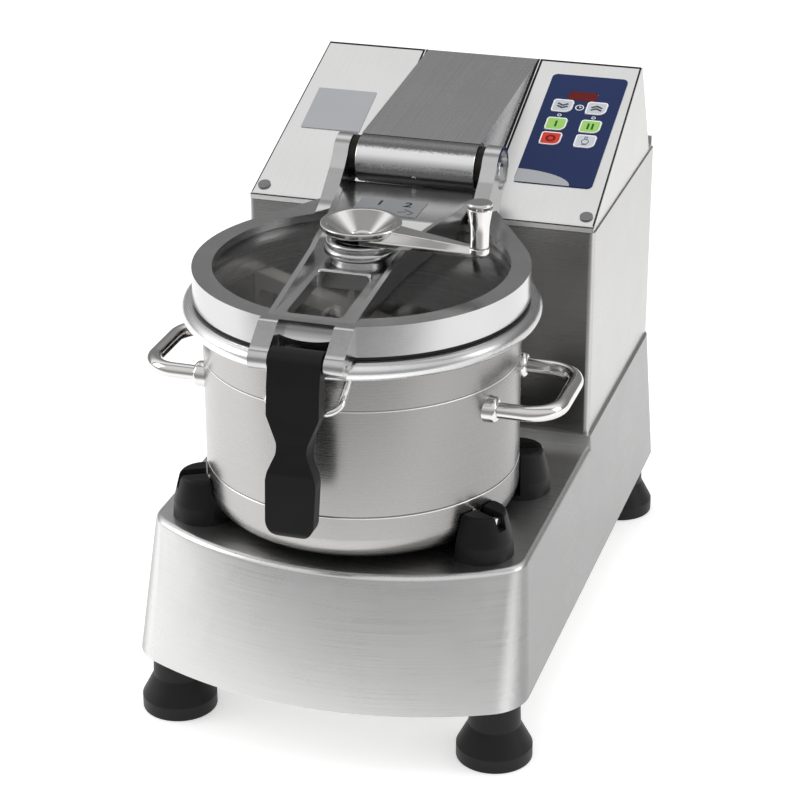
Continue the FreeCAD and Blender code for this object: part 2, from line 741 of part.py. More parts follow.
def head_cover():
    """Sides, back and top strip in one shell; the sloping panel closes its front."""
    drop = PANEL_T / SLOPE_Y
    ridge = PANEL_HIGH_Z - drop
    brow = PANEL_LOW_Z - drop - (PANEL_LOW_Y - HEAD_FRONT) * SLOPE_Z / SLOPE_Y
    shoulder = PANEL_LOW_Z + 5
    fold = PANEL_HIGH_Y - HEAD_FOLD
    outer = prism_x([(HEAD_FRONT, COL_TOP, 0), (HEAD_FRONT, brow, 0), (PANEL_HIGH_Y, ridge, 0),
                     (HEAD_TOP_REAR, ridge, 0), (HEAD_BACK, shoulder, 0), (HEAD_BACK, COL_TOP, 0)],
                    -HEAD_HALF_LOW, HEAD_HALF_LOW)
    inner = prism_x([(HEAD_FRONT + SHEET, COL_TOP - 5, 0), (HEAD_FRONT + SHEET, ridge + 50, 0),
                     (fold, ridge + 50, 0), (fold, ridge - SHEET, 0),
                     (HEAD_TOP_REAR - SHEET, ridge - SHEET, 0), (HEAD_BACK - SHEET, shoulder, 0),
                     (HEAD_BACK - SHEET, COL_TOP - 5, 0)], -HEAD_HALF_LOW, HEAD_HALF_LOW)
    return lean_in(outer, 0).cut(lean_in(inner, SHEET))


def key_places():
    """Every key's name with its x and its distance up the slope."""
    names = (("key_down", "key_up"), ("key_speed_one", "key_speed_two"), ("key_stop", "key_pulse"))
    return [(names[row][column], x, s) for column, x in enumerate(KEY_COLUMNS)
            for row, s in enumerate(KEY_ROWS)]


def display_place():
    return FOIL_RIGHT - DISPLAY_SIDE, FOIL_LOW + DISPLAY_RISE


def control_panel():
    """The sloping front plate with a folded lip, and studs behind it for the board."""
    low = HEAD_HALF_LOW - HEAD_LEAN * PANEL_STEP / (PANEL_HIGH_Z - COL_TOP)
    plate = panel_prism([(-low, 0, 0), (low, 0, 0), (HEAD_HALF_HIGH, SLOPE_LEN, 0),
                         (-HEAD_HALF_HIGH, SLOPE_LEN, 0)], -PANEL_T, 0)
    under = on_panel(0, 0, -PANEL_T)
    lip_y = HEAD_FRONT - SHEET
    lip_z = COL_TOP + 0.5
    lip = prism_x([(PANEL_LOW_Y, PANEL_LOW_Z, 0), (lip_y, PANEL_LOW_Z - 1, 1.5), (lip_y, lip_z, 0),
                   (HEAD_FRONT, lip_z, 0), (HEAD_FRONT, under.z - 0.8, 0), (under.y, under.z, 0)], -low, low)
    inset = BOARD_POST_R + 1.5
    posts = [panel_rod(BOARD_POST_R, x, s, -BOARD_DEPTH, -PANEL_T)
             for x in (BOARD_X[0] + inset, BOARD_X[1] - inset)
             for s in (BOARD_S[0] + inset, BOARD_S[1] - inset)]
    holes = [panel_rect(x, s, KEY_STEM_W + 1, KEY_STEM_H + 1, 1, -10, 10) for _, x, s in key_places()]
    holes.append(panel_rect(*display_place(), DISPLAY_W - 1.2, DISPLAY_H - 1.2, 1, -10, 10))
    for x in (-PLUG_X, PLUG_X):
        holes.append(panel_rod(PLUG_SHANK_R + GAP, x, PLUG_S, -10, 10))
    return plate.fuse([lip] + posts).cut(holes)


def panel_screws():
    screws = []
    for x in (-PLUG_X, PLUG_X):
        head = panel_rod(PLUG_R, x, PLUG_S, 0, PLUG_T)
        shank = panel_rod(PLUG_SHANK_R, x, PLUG_S, -BOARD_DEPTH, 0)
        screws.append(head.fuse(shank))
    return Part.makeCompound(screws)


# Keypad

def key_outline(x, s, grow=0.0):
    """A rounded square with one corner cut rounder, as all the keys have."""
    w, h = KEY_W / 2 + grow, KEY_H / 2 + grow
    small, large = 3.5, 8.0
    return [(x - w, s - h, small), (x + w, s - h, large), (x + w, s + h, small), (x - w, s + h, small)]


def key(x, s):
    """A cap that stands off the panel by its travel, on a stem that reaches to the board."""
    rest = KEY_TRAVEL + GAP
    cap = panel_prism(key_outline(x, s), rest, rest + KEY_T)
    stem = panel_rect(x, s, KEY_STEM_W, KEY_STEM_H, 1, rest - BOARD_DEPTH, rest)
    return cap.fuse(stem)


def keypad_foil():
    foil = panel_prism(rectangle(FOIL_LEFT, FOIL_RIGHT, FOIL_LOW, FOIL_LOW + FOIL_H, FOIL_CORNER), 0, FOIL_T)
    holes = [panel_prism(key_outline(x, s, 0.4), -1, 3) for _, x, s in key_places()]
    holes.append(panel_rect(*display_place(), DISPLAY_W + 0.4, DISPLAY_H + 0.4, 3, -1, 3))
    return foil.cut(holes)


def display_lens():
    lens = panel_rect(*display_place(), DISPLAY_W, DISPLAY_H, 2.8, 0.1, FOIL_T + 0.1)
    body = panel_rect(*display_place(), DISPLAY_W - 1.8, DISPLAY_H - 1.8, 1, GAP - BOARD_DEPTH, 0.1)
    return lens.fuse(body)


def control_board():
    return panel_prism(rectangle(*BOARD_X, *BOARD_S, 2), -BOARD_DEPTH - BOARD_T, -BOARD_DEPTH)


def blank_plate():
    return panel_rect(BLANK_LEFT + BLANK_W / 2, BLANK_LOW + BLANK_H / 2, BLANK_W, BLANK_H, 1, 0, FOIL_T)


# Hinge housing, barrel, bushes and pin

def hinge_housing():
    """Wedge from the panel to the barrel, with a seat that fits round it."""
    rear = on_panel(0, SLOPE_LEN)
    toe = on_panel(0, HOUSING_TOE)
    wedge = prism_x([(rear.y, rear.z, 0), (HINGE_Y - 2, HINGE_Z + BARREL_R, 0), (HINGE_Y, HINGE_Z, 0),
                     (toe.y, toe.z + HOUSING_TOE_H, 4), (toe.y, toe.z, 0)], -BARREL_HALF, BARREL_HALF)
    return wedge.cut(cross_rod(BARREL_R + GAP, -FAR, FAR, HINGE_Y, HINGE_Z))


def hinge_barrel():
    body = cross_rod(BARREL_R, -BARREL_HALF, BARREL_HALF, HINGE_Y, HINGE_Z)
    body = body.makeFillet(1.5, [e for e in body.Edges if abs(e.BoundBox.XLength) < 0.1])
    grub = rod(2.5, (0, HINGE_Y - 12, HINGE_Z - BARREL_R - 6), (0, HINGE_Y - 8, HINGE_Z - BARREL_R + 10))
    return body.cut([cross_rod(PIN_R + RUN, -FAR, FAR, HINGE_Y, HINGE_Z), grub])


def hinge_bushes():
    bush = cross_rod(BUSH_R, BUSH_IN, BUSH_OUT, HINGE_Y, HINGE_Z)
    return both_sides(bush.cut(cross_rod(PIN_R + RUN, 0, FAR, HINGE_Y, HINGE_Z)))


def hinge_pin():
    end = EAR_OUT - PIN_END_INSET
    pin = cross_rod(PIN_R, -end, end, HINGE_Y, HINGE_Z)
    return pin.makeFillet(1.0, [e for e in pin.Edges if abs(e.BoundBox.XLength) < 0.1])


# Bowl

def bowl():
    """Spun bowl with a bead rolled round its rim and a chimney for the spindle."""
    low = RIM_Z - 2 * BEAD_R
    return turned([
        (CHIMNEY_R, BOWL_BOTTOM, 0), (BOWL_R, BOWL_BOTTOM, BOWL_CORNER),
        (BOWL_R, BAND_Z - 1, 0), (BOWL_R - BAND_DEPTH, BAND_Z, 0), (BOWL_R, BAND_Z + 1, 0),
        (BOWL_R, low, 0), (BEAD_OUT, low, BEAD_R - 0.01), (BEAD_OUT, RIM_Z, BEAD_R),
        (WALL_IN, RIM_Z, 0), (WALL_IN, BOWL_FLOOR, BOWL_CORNER - BOWL_WALL),
        (CHIMNEY_R + BOWL_WALL + CHIMNEY_FOOT, BOWL_FLOOR, 0),
        (CHIMNEY_R + BOWL_WALL, BOWL_FLOOR + CHIMNEY_FOOT, 0), (CHIMNEY_R + BOWL_WALL, CHIMNEY_TOP, 0),
        (CHIMNEY_R, CHIMNEY_TOP, 0)])


def handle():
    """The right handle: a bent tube with a rounded root at each end on the bowl's wall."""
    wall_x = math.sqrt(BOWL_R ** 2 - HANDLE_HALF ** 2)
    root = wall_x - 8
    out = BOWL_R + HANDLE_REACH
    path = rounded_wire([(root, -HANDLE_HALF, 0), (out, -HANDLE_HALF, HANDLE_BEND),
                         (out, HANDLE_HALF, HANDLE_BEND), (root, HANDLE_HALF, 0)],
                        lambda p: V(p.x, p.y, HANDLE_Z), closed=False)
    circle = Part.Wire(Part.makeCircle(HANDLE_TUBE_R, V(root, -HANDLE_HALF, HANDLE_Z), V(1, 0, 0)))
    roots = []
    for y in (-HANDLE_HALF, HANDLE_HALF):
        end = rod(HANDLE_FLANGE_R, (root, y, HANDLE_Z), (wall_x + HANDLE_FLANGE_T, y, HANDLE_Z))
        outer = [e for e in end.Edges if e.BoundBox.XMin > wall_x + HANDLE_FLANGE_T - 0.1]
        roots.append(end.makeFillet(HANDLE_FLANGE_ROUND, outer))
    tube = path.makePipeShell([circle], True, False).fuse(roots)
    return tube.cut(disc(BOWL_R, BOWL_BOTTOM, RIM_Z))


def bowl_catch():
    """U-shaped rod under the bead that the latch hooks."""
    back_y = 6 - math.sqrt(BOWL_R ** 2 - CATCH_HALF ** 2)
    run_y, run_z = CATCH_Y - back_y, CATCH_Z - CATCH_ROOT_Z
    length = math.hypot(run_y, run_z)

    def place(p):
        share = p.y / length
        return V(p.x, back_y + run_y * share, CATCH_ROOT_Z + run_z * share)

    path = rounded_wire([(-CATCH_HALF, 0, 0), (-CATCH_HALF, length, CATCH_BEND),
                         (CATCH_HALF, length, CATCH_BEND), (CATCH_HALF, 0, 0)], place, closed=False)
    circle = Part.Wire(Part.makeCircle(CATCH_ROD_R, place(V(-CATCH_HALF, 0, 0)), V(0, run_y, run_z)))
    loop = path.makePipeShell([circle], True, False)
    return loop.cut(disc(BOWL_R, BOWL_BOTTOM, RIM_Z))


# Posts and the bowl's pins

POST_SIDES = ((-1, -1, "front_left"), (1, -1, "front_right"), (1, 1, "rear_right"), (-1, 1, "rear_left"))


def radial(r, side_x, side_y, z):
    """Point at radius r from the bowl's axis, on the line through a post."""
    angle = math.radians(POST_ANGLE)
    return side_x * r * math.cos(angle), side_y * r * math.sin(angle), z


def bowl_pins():
    wall = disc(BOWL_R, BOWL_BOTTOM, RIM_Z)
    pins = [rod(BOWL_PIN_R, radial(BOWL_R - 6, sx, sy, BOWL_PIN_Z),
                radial(BOWL_R + BOWL_PIN_LEN, sx, sy, BOWL_PIN_Z)).cut(wall)
            for sx, sy, _ in POST_SIDES]
    return Part.makeCompound(pins)


def bowl_post(side_x, side_y):
    """A tapered post hollowed to the bowl, with a slot open above for the bowl's pin."""
    x, y, _ = radial(POST_REACH, side_x, side_y, 0)
    top = DECK_Z + POST_H
    body = turned([(0, DECK_Z, 0), (POST_R, DECK_Z, 0), (POST_R - 1, DECK_Z + POST_SHOULDER_H, 8),
                   (POST_TOP_R, top, 5), (0, top, 0)], x, y)
    clear = disc(BOWL_R + POST_BOWL_GAP, BOWL_BOTTOM - POST_BOWL_GAP, RIM_Z)
    half = BOWL_PIN_R + BOWL_PIN_SLOT
    slot = box(0, POST_R * 3, -half, half, BOWL_PIN_Z - BOWL_PIN_R - GAP, top + 5)
    start = radial(POST_REACH - POST_R, side_x, side_y, 0)
    round_z(slot, math.degrees(math.atan2(start[1], start[0])))
    slot.translate(V(*start))
    return body.cut([clear, slot])


# Latch

def latch_lever():
    """A cast lever, waisted above its grip, with a hook on its back that holds the catch."""
    back = CATCH_Y - CATCH_ROD_R - 1.0
    tip_z = LATCH_Z - LATCH_LEN
    tip_y = LATCH_Y - LATCH_REACH
    outline = [(back, LATCH_Z, 0), (back, LATCH_Z - LATCH_FLAT, 0)]
    outline += [(LATCH_Y - out, LATCH_Z - drop, r) for drop, out, r in LATCH_BACK]
    outline += [(tip_y + LATCH_TIP_T, tip_z, 5), (tip_y, tip_z, 7)]
    outline += [(LATCH_Y - out, LATCH_Z - drop, r) for drop, out, r in LATCH_FRONT]
    outline += [(LATCH_Y - LATCH_EYE_R, LATCH_Z, 0)]
    side = prism_x(outline, -LATCH_HALF - 2, LATCH_HALF + 2)
    right = [(half, LATCH_Z - drop, r) for drop, half, r in LATCH_SIDES]
    left = [(-half, z, r) for half, z, r in reversed(right)]
    above = LATCH_Z + 20
    front = prism_y([(LATCH_HALF, above, 0)] + right + left + [(-LATCH_HALF, above, 0)], -FAR, 0)
    eye = cross_rod(LATCH_EYE_R, -LATCH_HALF, LATCH_HALF, LATCH_Y, LATCH_Z)
    hook_r = math.hypot(CATCH_Y - LATCH_Y, CATCH_Z - LATCH_Z) + CATCH_ROD_R + GAP
    hook = cross_rod(hook_r + LATCH_HOOK_T, -LATCH_HOOK_HALF, LATCH_HOOK_HALF, LATCH_Y, LATCH_Z)
    hook = hook.cut(cross_rod(hook_r, -LATCH_HOOK_HALF, LATCH_HOOK_HALF, LATCH_Y, LATCH_Z))
    hook = hook.common(box(-LATCH_HOOK_HALF, LATCH_HOOK_HALF, back - 6, CATCH_Y + 5, 0, CATCH_Z))
    bore = cross_rod(LATCH_PIN_R + RUN, -FAR, FAR, LATCH_Y, LATCH_Z)
    return side.common(front).fuse([eye, hook]).cut(bore)


def latch_pin():
    half = FORK_OUT - PIN_END_INSET
    return cross_rod(LATCH_PIN_R, -half, half, LATCH_Y, LATCH_Z)


# Lid

def ear_tangent():
    """Where a line from an ear's outer face meets the lid's circle tangentially."""
    tail = HINGE_Y - LID_TAIL
    reach = math.hypot(EAR_OUT, tail)
    angle = math.atan2(tail, EAR_OUT) - math.acos(LID_R / reach)
    return LID_R * math.cos(angle), LID_R * math.sin(angle)


def lid_plate():
    """The lid's teardrop plate: a disc drawn out to the ears."""
    x, y = ear_tangent()
    tail = HINGE_Y - LID_TAIL
    low = LID_TOP - LID_PLATE_T
    drawn_out = prism_z([(-x, y, 0), (x, y, 0), (EAR_OUT, tail, 0), (-EAR_OUT, tail, 0)], low, LID_TOP)
    return disc(LID_R, low, LID_TOP).fuse(drawn_out)


def arm_side(inset=0.0):
    """The arm's right edge from front to root, as (x, y, radius), moved in by inset."""
    return [(ARM_HALF_MIDDLE - inset, ARM_MIDDLE_Y, ARM_SWEEP_R),
            (ARM_HALF_REAR - inset, ARM_REAR_Y, ARM_SWEEP_R),
            (ARM_HALF_ROOT - inset, LID_INNER_R - 1, 8)]


def window_opening():
    """The right-hand opening between the ring and the middle arm."""
    low, high = LID_BOTTOM - 20, HINGE_Z
    side = [(ARM_HALF_FRONT, -LID_R, 0), (LID_R, -LID_R, 0), (LID_R, LID_INNER_R - 1, 0)]
    return disc(LID_INNER_R, low, high).common(prism_z(side + arm_side()[::-1], low, high))


def arm_plate():
    """The middle arm: level with the ring in front, with a step up behind the boss it carries."""
    front = ARM_FRONT_INSET - LID_R
    root = HINGE_Y - LID_TAIL - 8
    right = [(ARM_HALF_FRONT, front, 6)] + arm_side() + [(EAR_IN + 2, root, 4)]
    left = [(-x, y, r) for x, y, r in reversed(right)]
    low = LID_TOP - LID_PLATE_T
    step = BOSS_R + CUT
    side = [(front, low, 0), (front, LID_TOP, 0), (-step, ARM_TOP, 0), (step, ARM_TOP, 15),
            (step + ARM_STEP_RUN, ARM_REAR_TOP, 15), (root, ARM_REAR_TOP, 0), (root, low, 0)]
    return prism_z(right + left, low, RIB_TOP).common(prism_x(side, -FAR, FAR))


def rib():
    """The right-hand rib along the arm's edge, which grows from the ring towards the hinge."""
    front = ARM_FRONT_INSET + 3 - LID_R
    root = HINGE_Y - LID_TAIL - 8
    outer = [(ARM_HALF_FRONT, front, 0)] + arm_side() + [(EAR_IN + 2, root, 0)]
    inner = [(ARM_HALF_FRONT - RIB_W, front, 0)] + arm_side(RIB_W) + [(EAR_IN + 2 - RIB_W, root, 0)]
    low = LID_TOP - LID_PLATE_T
    side = [(front, low, 0), (front, LID_TOP, 0), (front + RIB_RUN, RIB_TOP, 100), (root, RIB_TOP, 0),
            (root, low, 0)]
    return prism_z(outer + inner[::-1], low, RIB_TOP).common(prism_x(side, 0, FAR))


def slot_lip():
    """The rounded lip behind the arm's slot."""
    y = SLOT_FRONT_INSET - LID_R + SLOT_LENGTH + SLOT_LIP_R - 1
    lip = cross_rod(SLOT_LIP_R, -SLOT_HALF, SLOT_HALF, y, ARM_TOP)
    return lip.makeFillet(SLOT_LIP_R - 1, [e for e in lip.Edges if abs(e.BoundBox.XLength) < 0.1])


def ear():
    """The right ear with its web down to the lid's plate."""
    start = HINGE_Y - WEB_RUN
    skirt = LID_BOTTOM + 6
    knuckle = cross_rod(EAR_R, EAR_IN, EAR_OUT, HINGE_Y, HINGE_Z)
    web = prism_x([(start, LID_TOP - 4, 0), (start, LID_TOP, 0), (HINGE_Y - WEB_FLAT_RUN, LID_TOP + 1, 40),
                   (HINGE_Y - WEB_CREST_RUN, HINGE_Z - 2, 30), (HINGE_Y - 10, HINGE_Z + EAR_R - 2.5, 0),
                   (HINGE_Y, HINGE_Z, 0), (HINGE_Y + 4, HINGE_Z - EAR_R + 0.5, 6),
                   (HINGE_Y - LID_TAIL, LID_TOP - 17, 10), (start + 50, skirt, 0), (start, skirt, 0)],
                  EAR_IN, EAR_OUT)
    sunk = cross_rod(EAR_R - EAR_RIM, EAR_OUT - EAR_SUNK, EAR_OUT + CUT, HINGE_Y, HINGE_Z)
    return knuckle.fuse(web).cut(sunk)


def fork():
    """The right fork prong that carries the latch's pin."""
    root = LID_FLANGE - 1 - LID_R
    nose = cross_rod(FORK_R, FORK_IN, FORK_OUT, LATCH_Y, LATCH_Z)
    web = prism_x([(root, LID_TOP, 0), (-LID_R, LID_TOP, 8), (LATCH_Y - FORK_R + 2, LATCH_Z + 6, 6),
                   (LATCH_Y, LATCH_Z, 0), (LATCH_Y + 2, LATCH_Z - FORK_R + 0.2, 0),
                   (-LID_R - 4, LID_BOTTOM, 4), (root, LID_BOTTOM, 0)], FORK_IN, FORK_OUT)
    return nose.fuse(web)


def boss():
    """The boss for the crank's tube: a bead round it, and a cup for the crank's collar."""
    low = LID_TOP - BOSS_DEPTH
    bead = BOSS_TOP + BOSS_CUP_H / 2 - 1
    cup = BOSS_TOP + BOSS_CUP_H
    inner = BOSS_CUP_R - BOSS_CUP_WALL
    return turned([(0, low, 0), (BOSS_R, low, 0), (BOSS_R, bead - BOSS_BEAD_H, 3),
                   (BOSS_BEAD_R, bead - BOSS_BEAD_H, 4), (BOSS_BEAD_R, bead, 4), (BOSS_CUP_R - 1, bead, 0),
                   (BOSS_CUP_R - 1, bead + 1, 0), (BOSS_CUP_R, bead + 1, 1.5), (BOSS_CUP_R, cup, 2.5),
                   (inner, cup, 2), (inner, BOSS_TOP, 2), (0, BOSS_TOP, 0)])


def lid_frame():
    """The cast lid: ring, middle arm with ribs and boss, hinge ears and latch fork."""
    wall = ring(LID_R, LID_R - LID_WALL, LID_BOTTOM, LID_TOP)
    hollow = cross_rod(FORK_HOLLOW_R, -FORK_IN, FORK_IN, FORK_HOLLOW - FORK_HOLLOW_R - LID_R, LID_TOP - 4)
    plate = lid_plate().fuse(wall).cut(hollow)
    sides = [part for half in (rib(), ear(), fork()) for part in (half, mirrored(half))]
    frame = plate.fuse([arm_plate(), boss(), slot_lip()] + sides)
    slot_y = SLOT_FRONT_INSET - LID_R
    slot = prism_z(rectangle(-SLOT_HALF, SLOT_HALF, slot_y, slot_y + SLOT_LENGTH, 5), LID_BOTTOM, HINGE_Z)
    opening = window_opening()
    bores = [disc(TUBE_R + RUN, LID_BOTTOM, HINGE_Z),
             cross_rod(PIN_R + RUN, -FAR, FAR, HINGE_Y, HINGE_Z),
             cross_rod(LATCH_PIN_R + RUN, -FAR, FAR, LATCH_Y, LATCH_Z)]
    barrel_room = cross_rod(BARREL_R + 3, -EAR_IN, EAR_IN, HINGE_Y, HINGE_Z)
    recess = ring(LID_R - LID_WALL, BOSS_R, LID_BOTTOM - 20, LID_TOP - LID_PLATE_T)
    return frame.cut([opening, mirrored(opening), slot, barrel_room, recess] + bores)


def lid_window():
    pane = disc(LID_R - LID_WALL - GAP, WINDOW_TOP - WINDOW_T, WINDOW_TOP)
    return pane.cut(disc(BOSS_R + GAP, WINDOW_TOP - 20, WINDOW_TOP + 20))


def lid_seal():
    return ring(LID_R - SEAL_LIP, LID_R - LID_WALL + SEAL_LIP, RIM_Z + GAP, LID_BOTTOM - 0.2)


def label_plate():
    """Blank plate at the arm's root; its two numbers are left to the finish."""
    rear = HINGE_Y - LID_TAIL - 8 - LABEL_INSET
    return box(LABEL_X - LABEL_W / 2, LABEL_X + LABEL_W / 2, rear - LABEL_D, rear,
               ARM_REAR_TOP, ARM_REAR_TOP + LABEL_T)


# Crank

def crank():
    """The funnel's tube turns in the boss; its arm carries the grip and its tongue the scraper."""
    collar = BOSS_TOP + GAP
    funnel = turned([(TUBE_BORE_R, TUBE_LOW, 0), (TUBE_R, TUBE_LOW, 0), (TUBE_R, collar, 0),
                     (COLLAR_R, collar, 1), (COLLAR_R, CRANK_Z - 1, 3), (FUNNEL_R, FUNNEL_TOP - 5, 1.2),
                     (FUNNEL_R, FUNNEL_TOP, 1.2), (FUNNEL_R - FUNNEL_RIM_W, FUNNEL_TOP, 3),
                     (TUBE_BORE_R, CRANK_Z - 1, 4)])
    half = TUBE_R - 1
    tongue = box(-TONGUE_T / 2, TONGUE_T / 2, -half, half, SCRAPER_TOP - TONGUE_H, TUBE_LOW + 3)
    tongue = tongue.common(disc(TUBE_R - 0.5, SCRAPER_TOP - 20, TUBE_LOW + 10))
    low = CRANK_Z - 1
    hollow = Part.makeCone(TUBE_BORE_R, FUNNEL_R - FUNNEL_RIM_W, FUNNEL_TOP - low, V(0, 0, low))
    arm = crank_arm().cut([hollow, disc(TUBE_BORE_R, CRANK_Z - CUT, CRANK_Z)])
    tip = CRANK_Z + ARM_T
    under = GRIP_TOP - STUD_HEAD_H
    stud = turned([(0, CRANK_Z, 0), (ARM_TIP_R, CRANK_Z, 5), (ARM_TIP_R, tip, 1), (STUD_R, tip, 0),
                   (STUD_R, under, 0), (STUD_HEAD_R, under, 1), (STUD_HEAD_R, GRIP_TOP, 1.8),
                   (0, GRIP_TOP, 0)], CRANK_REACH, 0)
    return funnel.fuse([tongue, round_z(arm.fuse(stud), CRANK_ANGLE)])


def crank_arm():
    """The arm, drawn from a wide section at the funnel to a narrow one at the grip."""
    sections = []
    for x, width, height in ((ARM_START, ARM_WIDE, ARM_HIGH), (CRANK_REACH, ARM_TIP_R * 1.4, ARM_T - 1)):
        low, side = CRANK_Z + 0.3, width / 2
        outline = [(-side, low, 1), (side, low, 1), (side, low + height * 0.45, 2),
                   (side * 0.45, low + height, 2.5), (-side * 0.45, low + height, 2.5),
                   (-side, low + height * 0.45, 2)]
        sections.append(rounded_wire(outline, lambda p, x=x: V(x, p.x, p.y)))
    return Part.makeLoft(sections, True, True)


def crank_grip():
    low = CRANK_Z + ARM_T + GAP
    high = GRIP_TOP - STUD_HEAD_H - STUD_HEAD_GAP
    bore = STUD_R + RUN
    grip = turned([(bore, low, 0), (GRIP_LOW_R, low, 1), (GRIP_LOW_R + 0.5, low + 20, 60),
                   (GRIP_TOP_R, high, 1), (bore, high, 0)], CRANK_REACH, 0)
    return round_z(grip, CRANK_ANGLE)


# Scraper

def scraper():
    """A hub on the rotor's cap, with two arms that reach down the bowl's wall."""
    hub = disc(SCRAPER_HUB_R, CAP_TOP + GAP, SCRAPER_TOP)
    bore = disc(SPIGOT_R + RUN, CAP_TOP, CAP_TOP + SPIGOT_H + 1 + GAP)
    half = TONGUE_T / 2 + GAP
    slot = box(-half, half, -40, 40, SCRAPER_TOP - TONGUE_H - 1, SCRAPER_TOP + 5)
    low = RIM_Z - SCRAPER_DROP
    high = low + SCRAPER_ARM_T
    outer = WALL_IN - SCRAPER_WALL_GAP
    inner = outer - SCRAPER_BLADE_T
    bar = prism_x([(0, low, 0), (0, high, 0), (outer, high, 6), (outer, SCRAPER_LOW, 0),
                   (inner, SCRAPER_LOW, 0), (inner, low - 4, 10), (SCRAPER_HUB_R, low, 0)],
                  -SCRAPER_W / 2, SCRAPER_W / 2)
    bars = bar.fuse(bar.mirror(V(0, 0, 0), V(0, 1, 0)))
    return hub.fuse(round_z(bars, SCRAPER_ANGLE)).cut([bore, slot])


# Rotor

def rotor_hub():
    """A cup over the bowl's chimney that carries the blades."""
    low = BOWL_FLOOR + HUB_FLOOR_GAP
    inner = HUB_R - HUB_WALL
    bore = SPINDLE_R + RUN
    under = HUB_TOP - HUB_CROWN
    return turned([(inner, low, 0), (HUB_R, low, 1), (HUB_R, HUB_TOP, 10), (bore, HUB_TOP, 0),
                   (bore, under, 0), (inner, under, 4)])


def blade(z, turn):
    """Two sickle knives on a ring round the hub, each drawn by a leading and a trailing arc."""
    inner = HUB_R + RUN
    heel = V(inner + 3, -24, z)
    toe = V(inner + 2, 10, z)
    tip = V(BLADE_R, 0, z)
    lead = Part.Arc(heel, V(BLADE_R * 0.72, -46, z), tip).toShape()
    trail = Part.Arc(tip, V(BLADE_R * 0.66, -12, z), toe).toShape()
    outline = Part.Wire([lead, trail, Part.makeLine(toe, heel)])
    sickle = Part.Face(outline).extrude(V(0, 0, BLADE_T))
    other = sickle.rotated(V(0, 0, 0), V(0, 0, 1), 180)
    knife = ring(inner + BLADE_RING_W, inner, z, z + BLADE_T).fuse([sickle, other])
    return round_z(knife.cut(disc(inner, z - 5, z + 10)), turn)


def rotor_blades():
    low = BOWL_FLOOR + BLADE_LOW
    return Part.makeCompound([blade(low, 0), blade(low + BLADE_PITCH, BLADE_TURN)])


def rotor_cap():
    """Dome that closes the hub, with a spigot for the scraper to turn on."""
    spigot = CAP_TOP + SPIGOT_H
    return turned([(0, HUB_TOP + GAP, 0), (CAP_R, HUB_TOP + GAP, 2), (CAP_R - 4, CAP_TOP, 4),
                   (SPIGOT_R, CAP_TOP, 0), (SPIGOT_R, spigot, 1), (0, spigot, 0)])


def spindle():
    return disc(SPINDLE_R, PULLEY_Z - 6, HUB_TOP)


# Bearings

def bearing_housing():
    """Flanged housing under the deck, with seats for two bearings and the seal."""
    under_deck = DECK_Z - SHEET
    bore = SPINDLE_R + 3
    body_r = BEARING_R + HOUSING_WALL
    body = turned([(bore, HOUSING_LOW, 0), (body_r, HOUSING_LOW, 2), (body_r, under_deck - FLANGE_T, 4),
                   (FLANGE_R, under_deck - FLANGE_T, 2), (FLANGE_R, under_deck, 0),
                   (HOUSING_NECK_R, under_deck, 0), (HOUSING_NECK_R, HOUSING_TOP, 2),
                   (bore, HOUSING_TOP, 0)])
    seats = [disc(BEARING_R + RUN, z, z + BEARING_H) for z in BEARING_Z]
    seats.append(disc(BEARING_R + RUN, SEAL_Z, SEAL_Z + 20))
    seats.append(disc(BEARING_R + RUN, HOUSING_LOW - 10, HOUSING_LOW + BEARING_LIP + 1))
    return body.cut(seats)


def spindle_bearings():
    return Part.makeCompound([ring(BEARING_R, SPINDLE_R + RUN, z, z + BEARING_H) for z in BEARING_Z])


def shaft_seal():
    return ring(BEARING_R, SPINDLE_R + RUN, SEAL_Z, SEAL_Z + SEAL_H)


# Belt drive and motor

def pulley(y, r, bore):
    """A flat pulley with a rim at each edge."""
    low, high = PULLEY_Z, PULLEY_Z + PULLEY_W
    rim = r + PULLEY_RIM
    return turned([(bore + RUN, low, 0), (rim, low, 0), (rim, low + 2, 0), (r, low + 2, 0),
                   (r, high - 2, 0), (rim, high - 2, 0), (rim, high, 0), (bore + RUN, high, 0)], 0, y)


def belt_block(extra):
    """The room inside the belt's loop, moved out by extra."""
    low = PULLEY_Z + 2 + BELT_SIDE_GAP
    high = PULLEY_Z + PULLEY_W - 2 - BELT_SIDE_GAP
    lean = math.asin((DRIVEN_R - DRIVE_R) / MOTOR_Y)
    big, small = DRIVEN_R + GAP + extra, DRIVE_R + GAP + extra
    cos, sin = math.cos(lean), math.sin(lean)
    big_end = V(big * cos, big * sin, low)
    small_end = V(small * cos, MOTOR_Y + small * sin, low)

    def left(p):
        return V(-p.x, p.y, p.z)

    wire = Part.Wire([Part.Arc(big_end, V(0, -big, low), left(big_end)).toShape(),
                      Part.makeLine(left(big_end), left(small_end)),
                      Part.Arc(left(small_end), V(0, MOTOR_Y + small, low), small_end).toShape(),
                      Part.makeLine(small_end, big_end)])
    return Part.Face(wire).extrude(V(0, 0, high - low))


def drive_belt():
    return belt_block(BELT_T).cut(belt_block(0))


def motor():
    top = MOTOR_LOW + MOTOR_H
    bore = MOTOR_SHAFT_R + RUN
    bore_top = MOTOR_LOW + MOTOR_BORE_H
    return turned([(bore, MOTOR_LOW, 0), (MOTOR_R, MOTOR_LOW, 4), (MOTOR_R, top, 10), (0, top, 0),
                   (0, bore_top, 0), (bore, bore_top, 0)], 0, MOTOR_Y)


def motor_shaft():
    return disc(MOTOR_SHAFT_R, PULLEY_Z - 4, MOTOR_LOW + MOTOR_BORE_H - GAP, 0, MOTOR_Y)


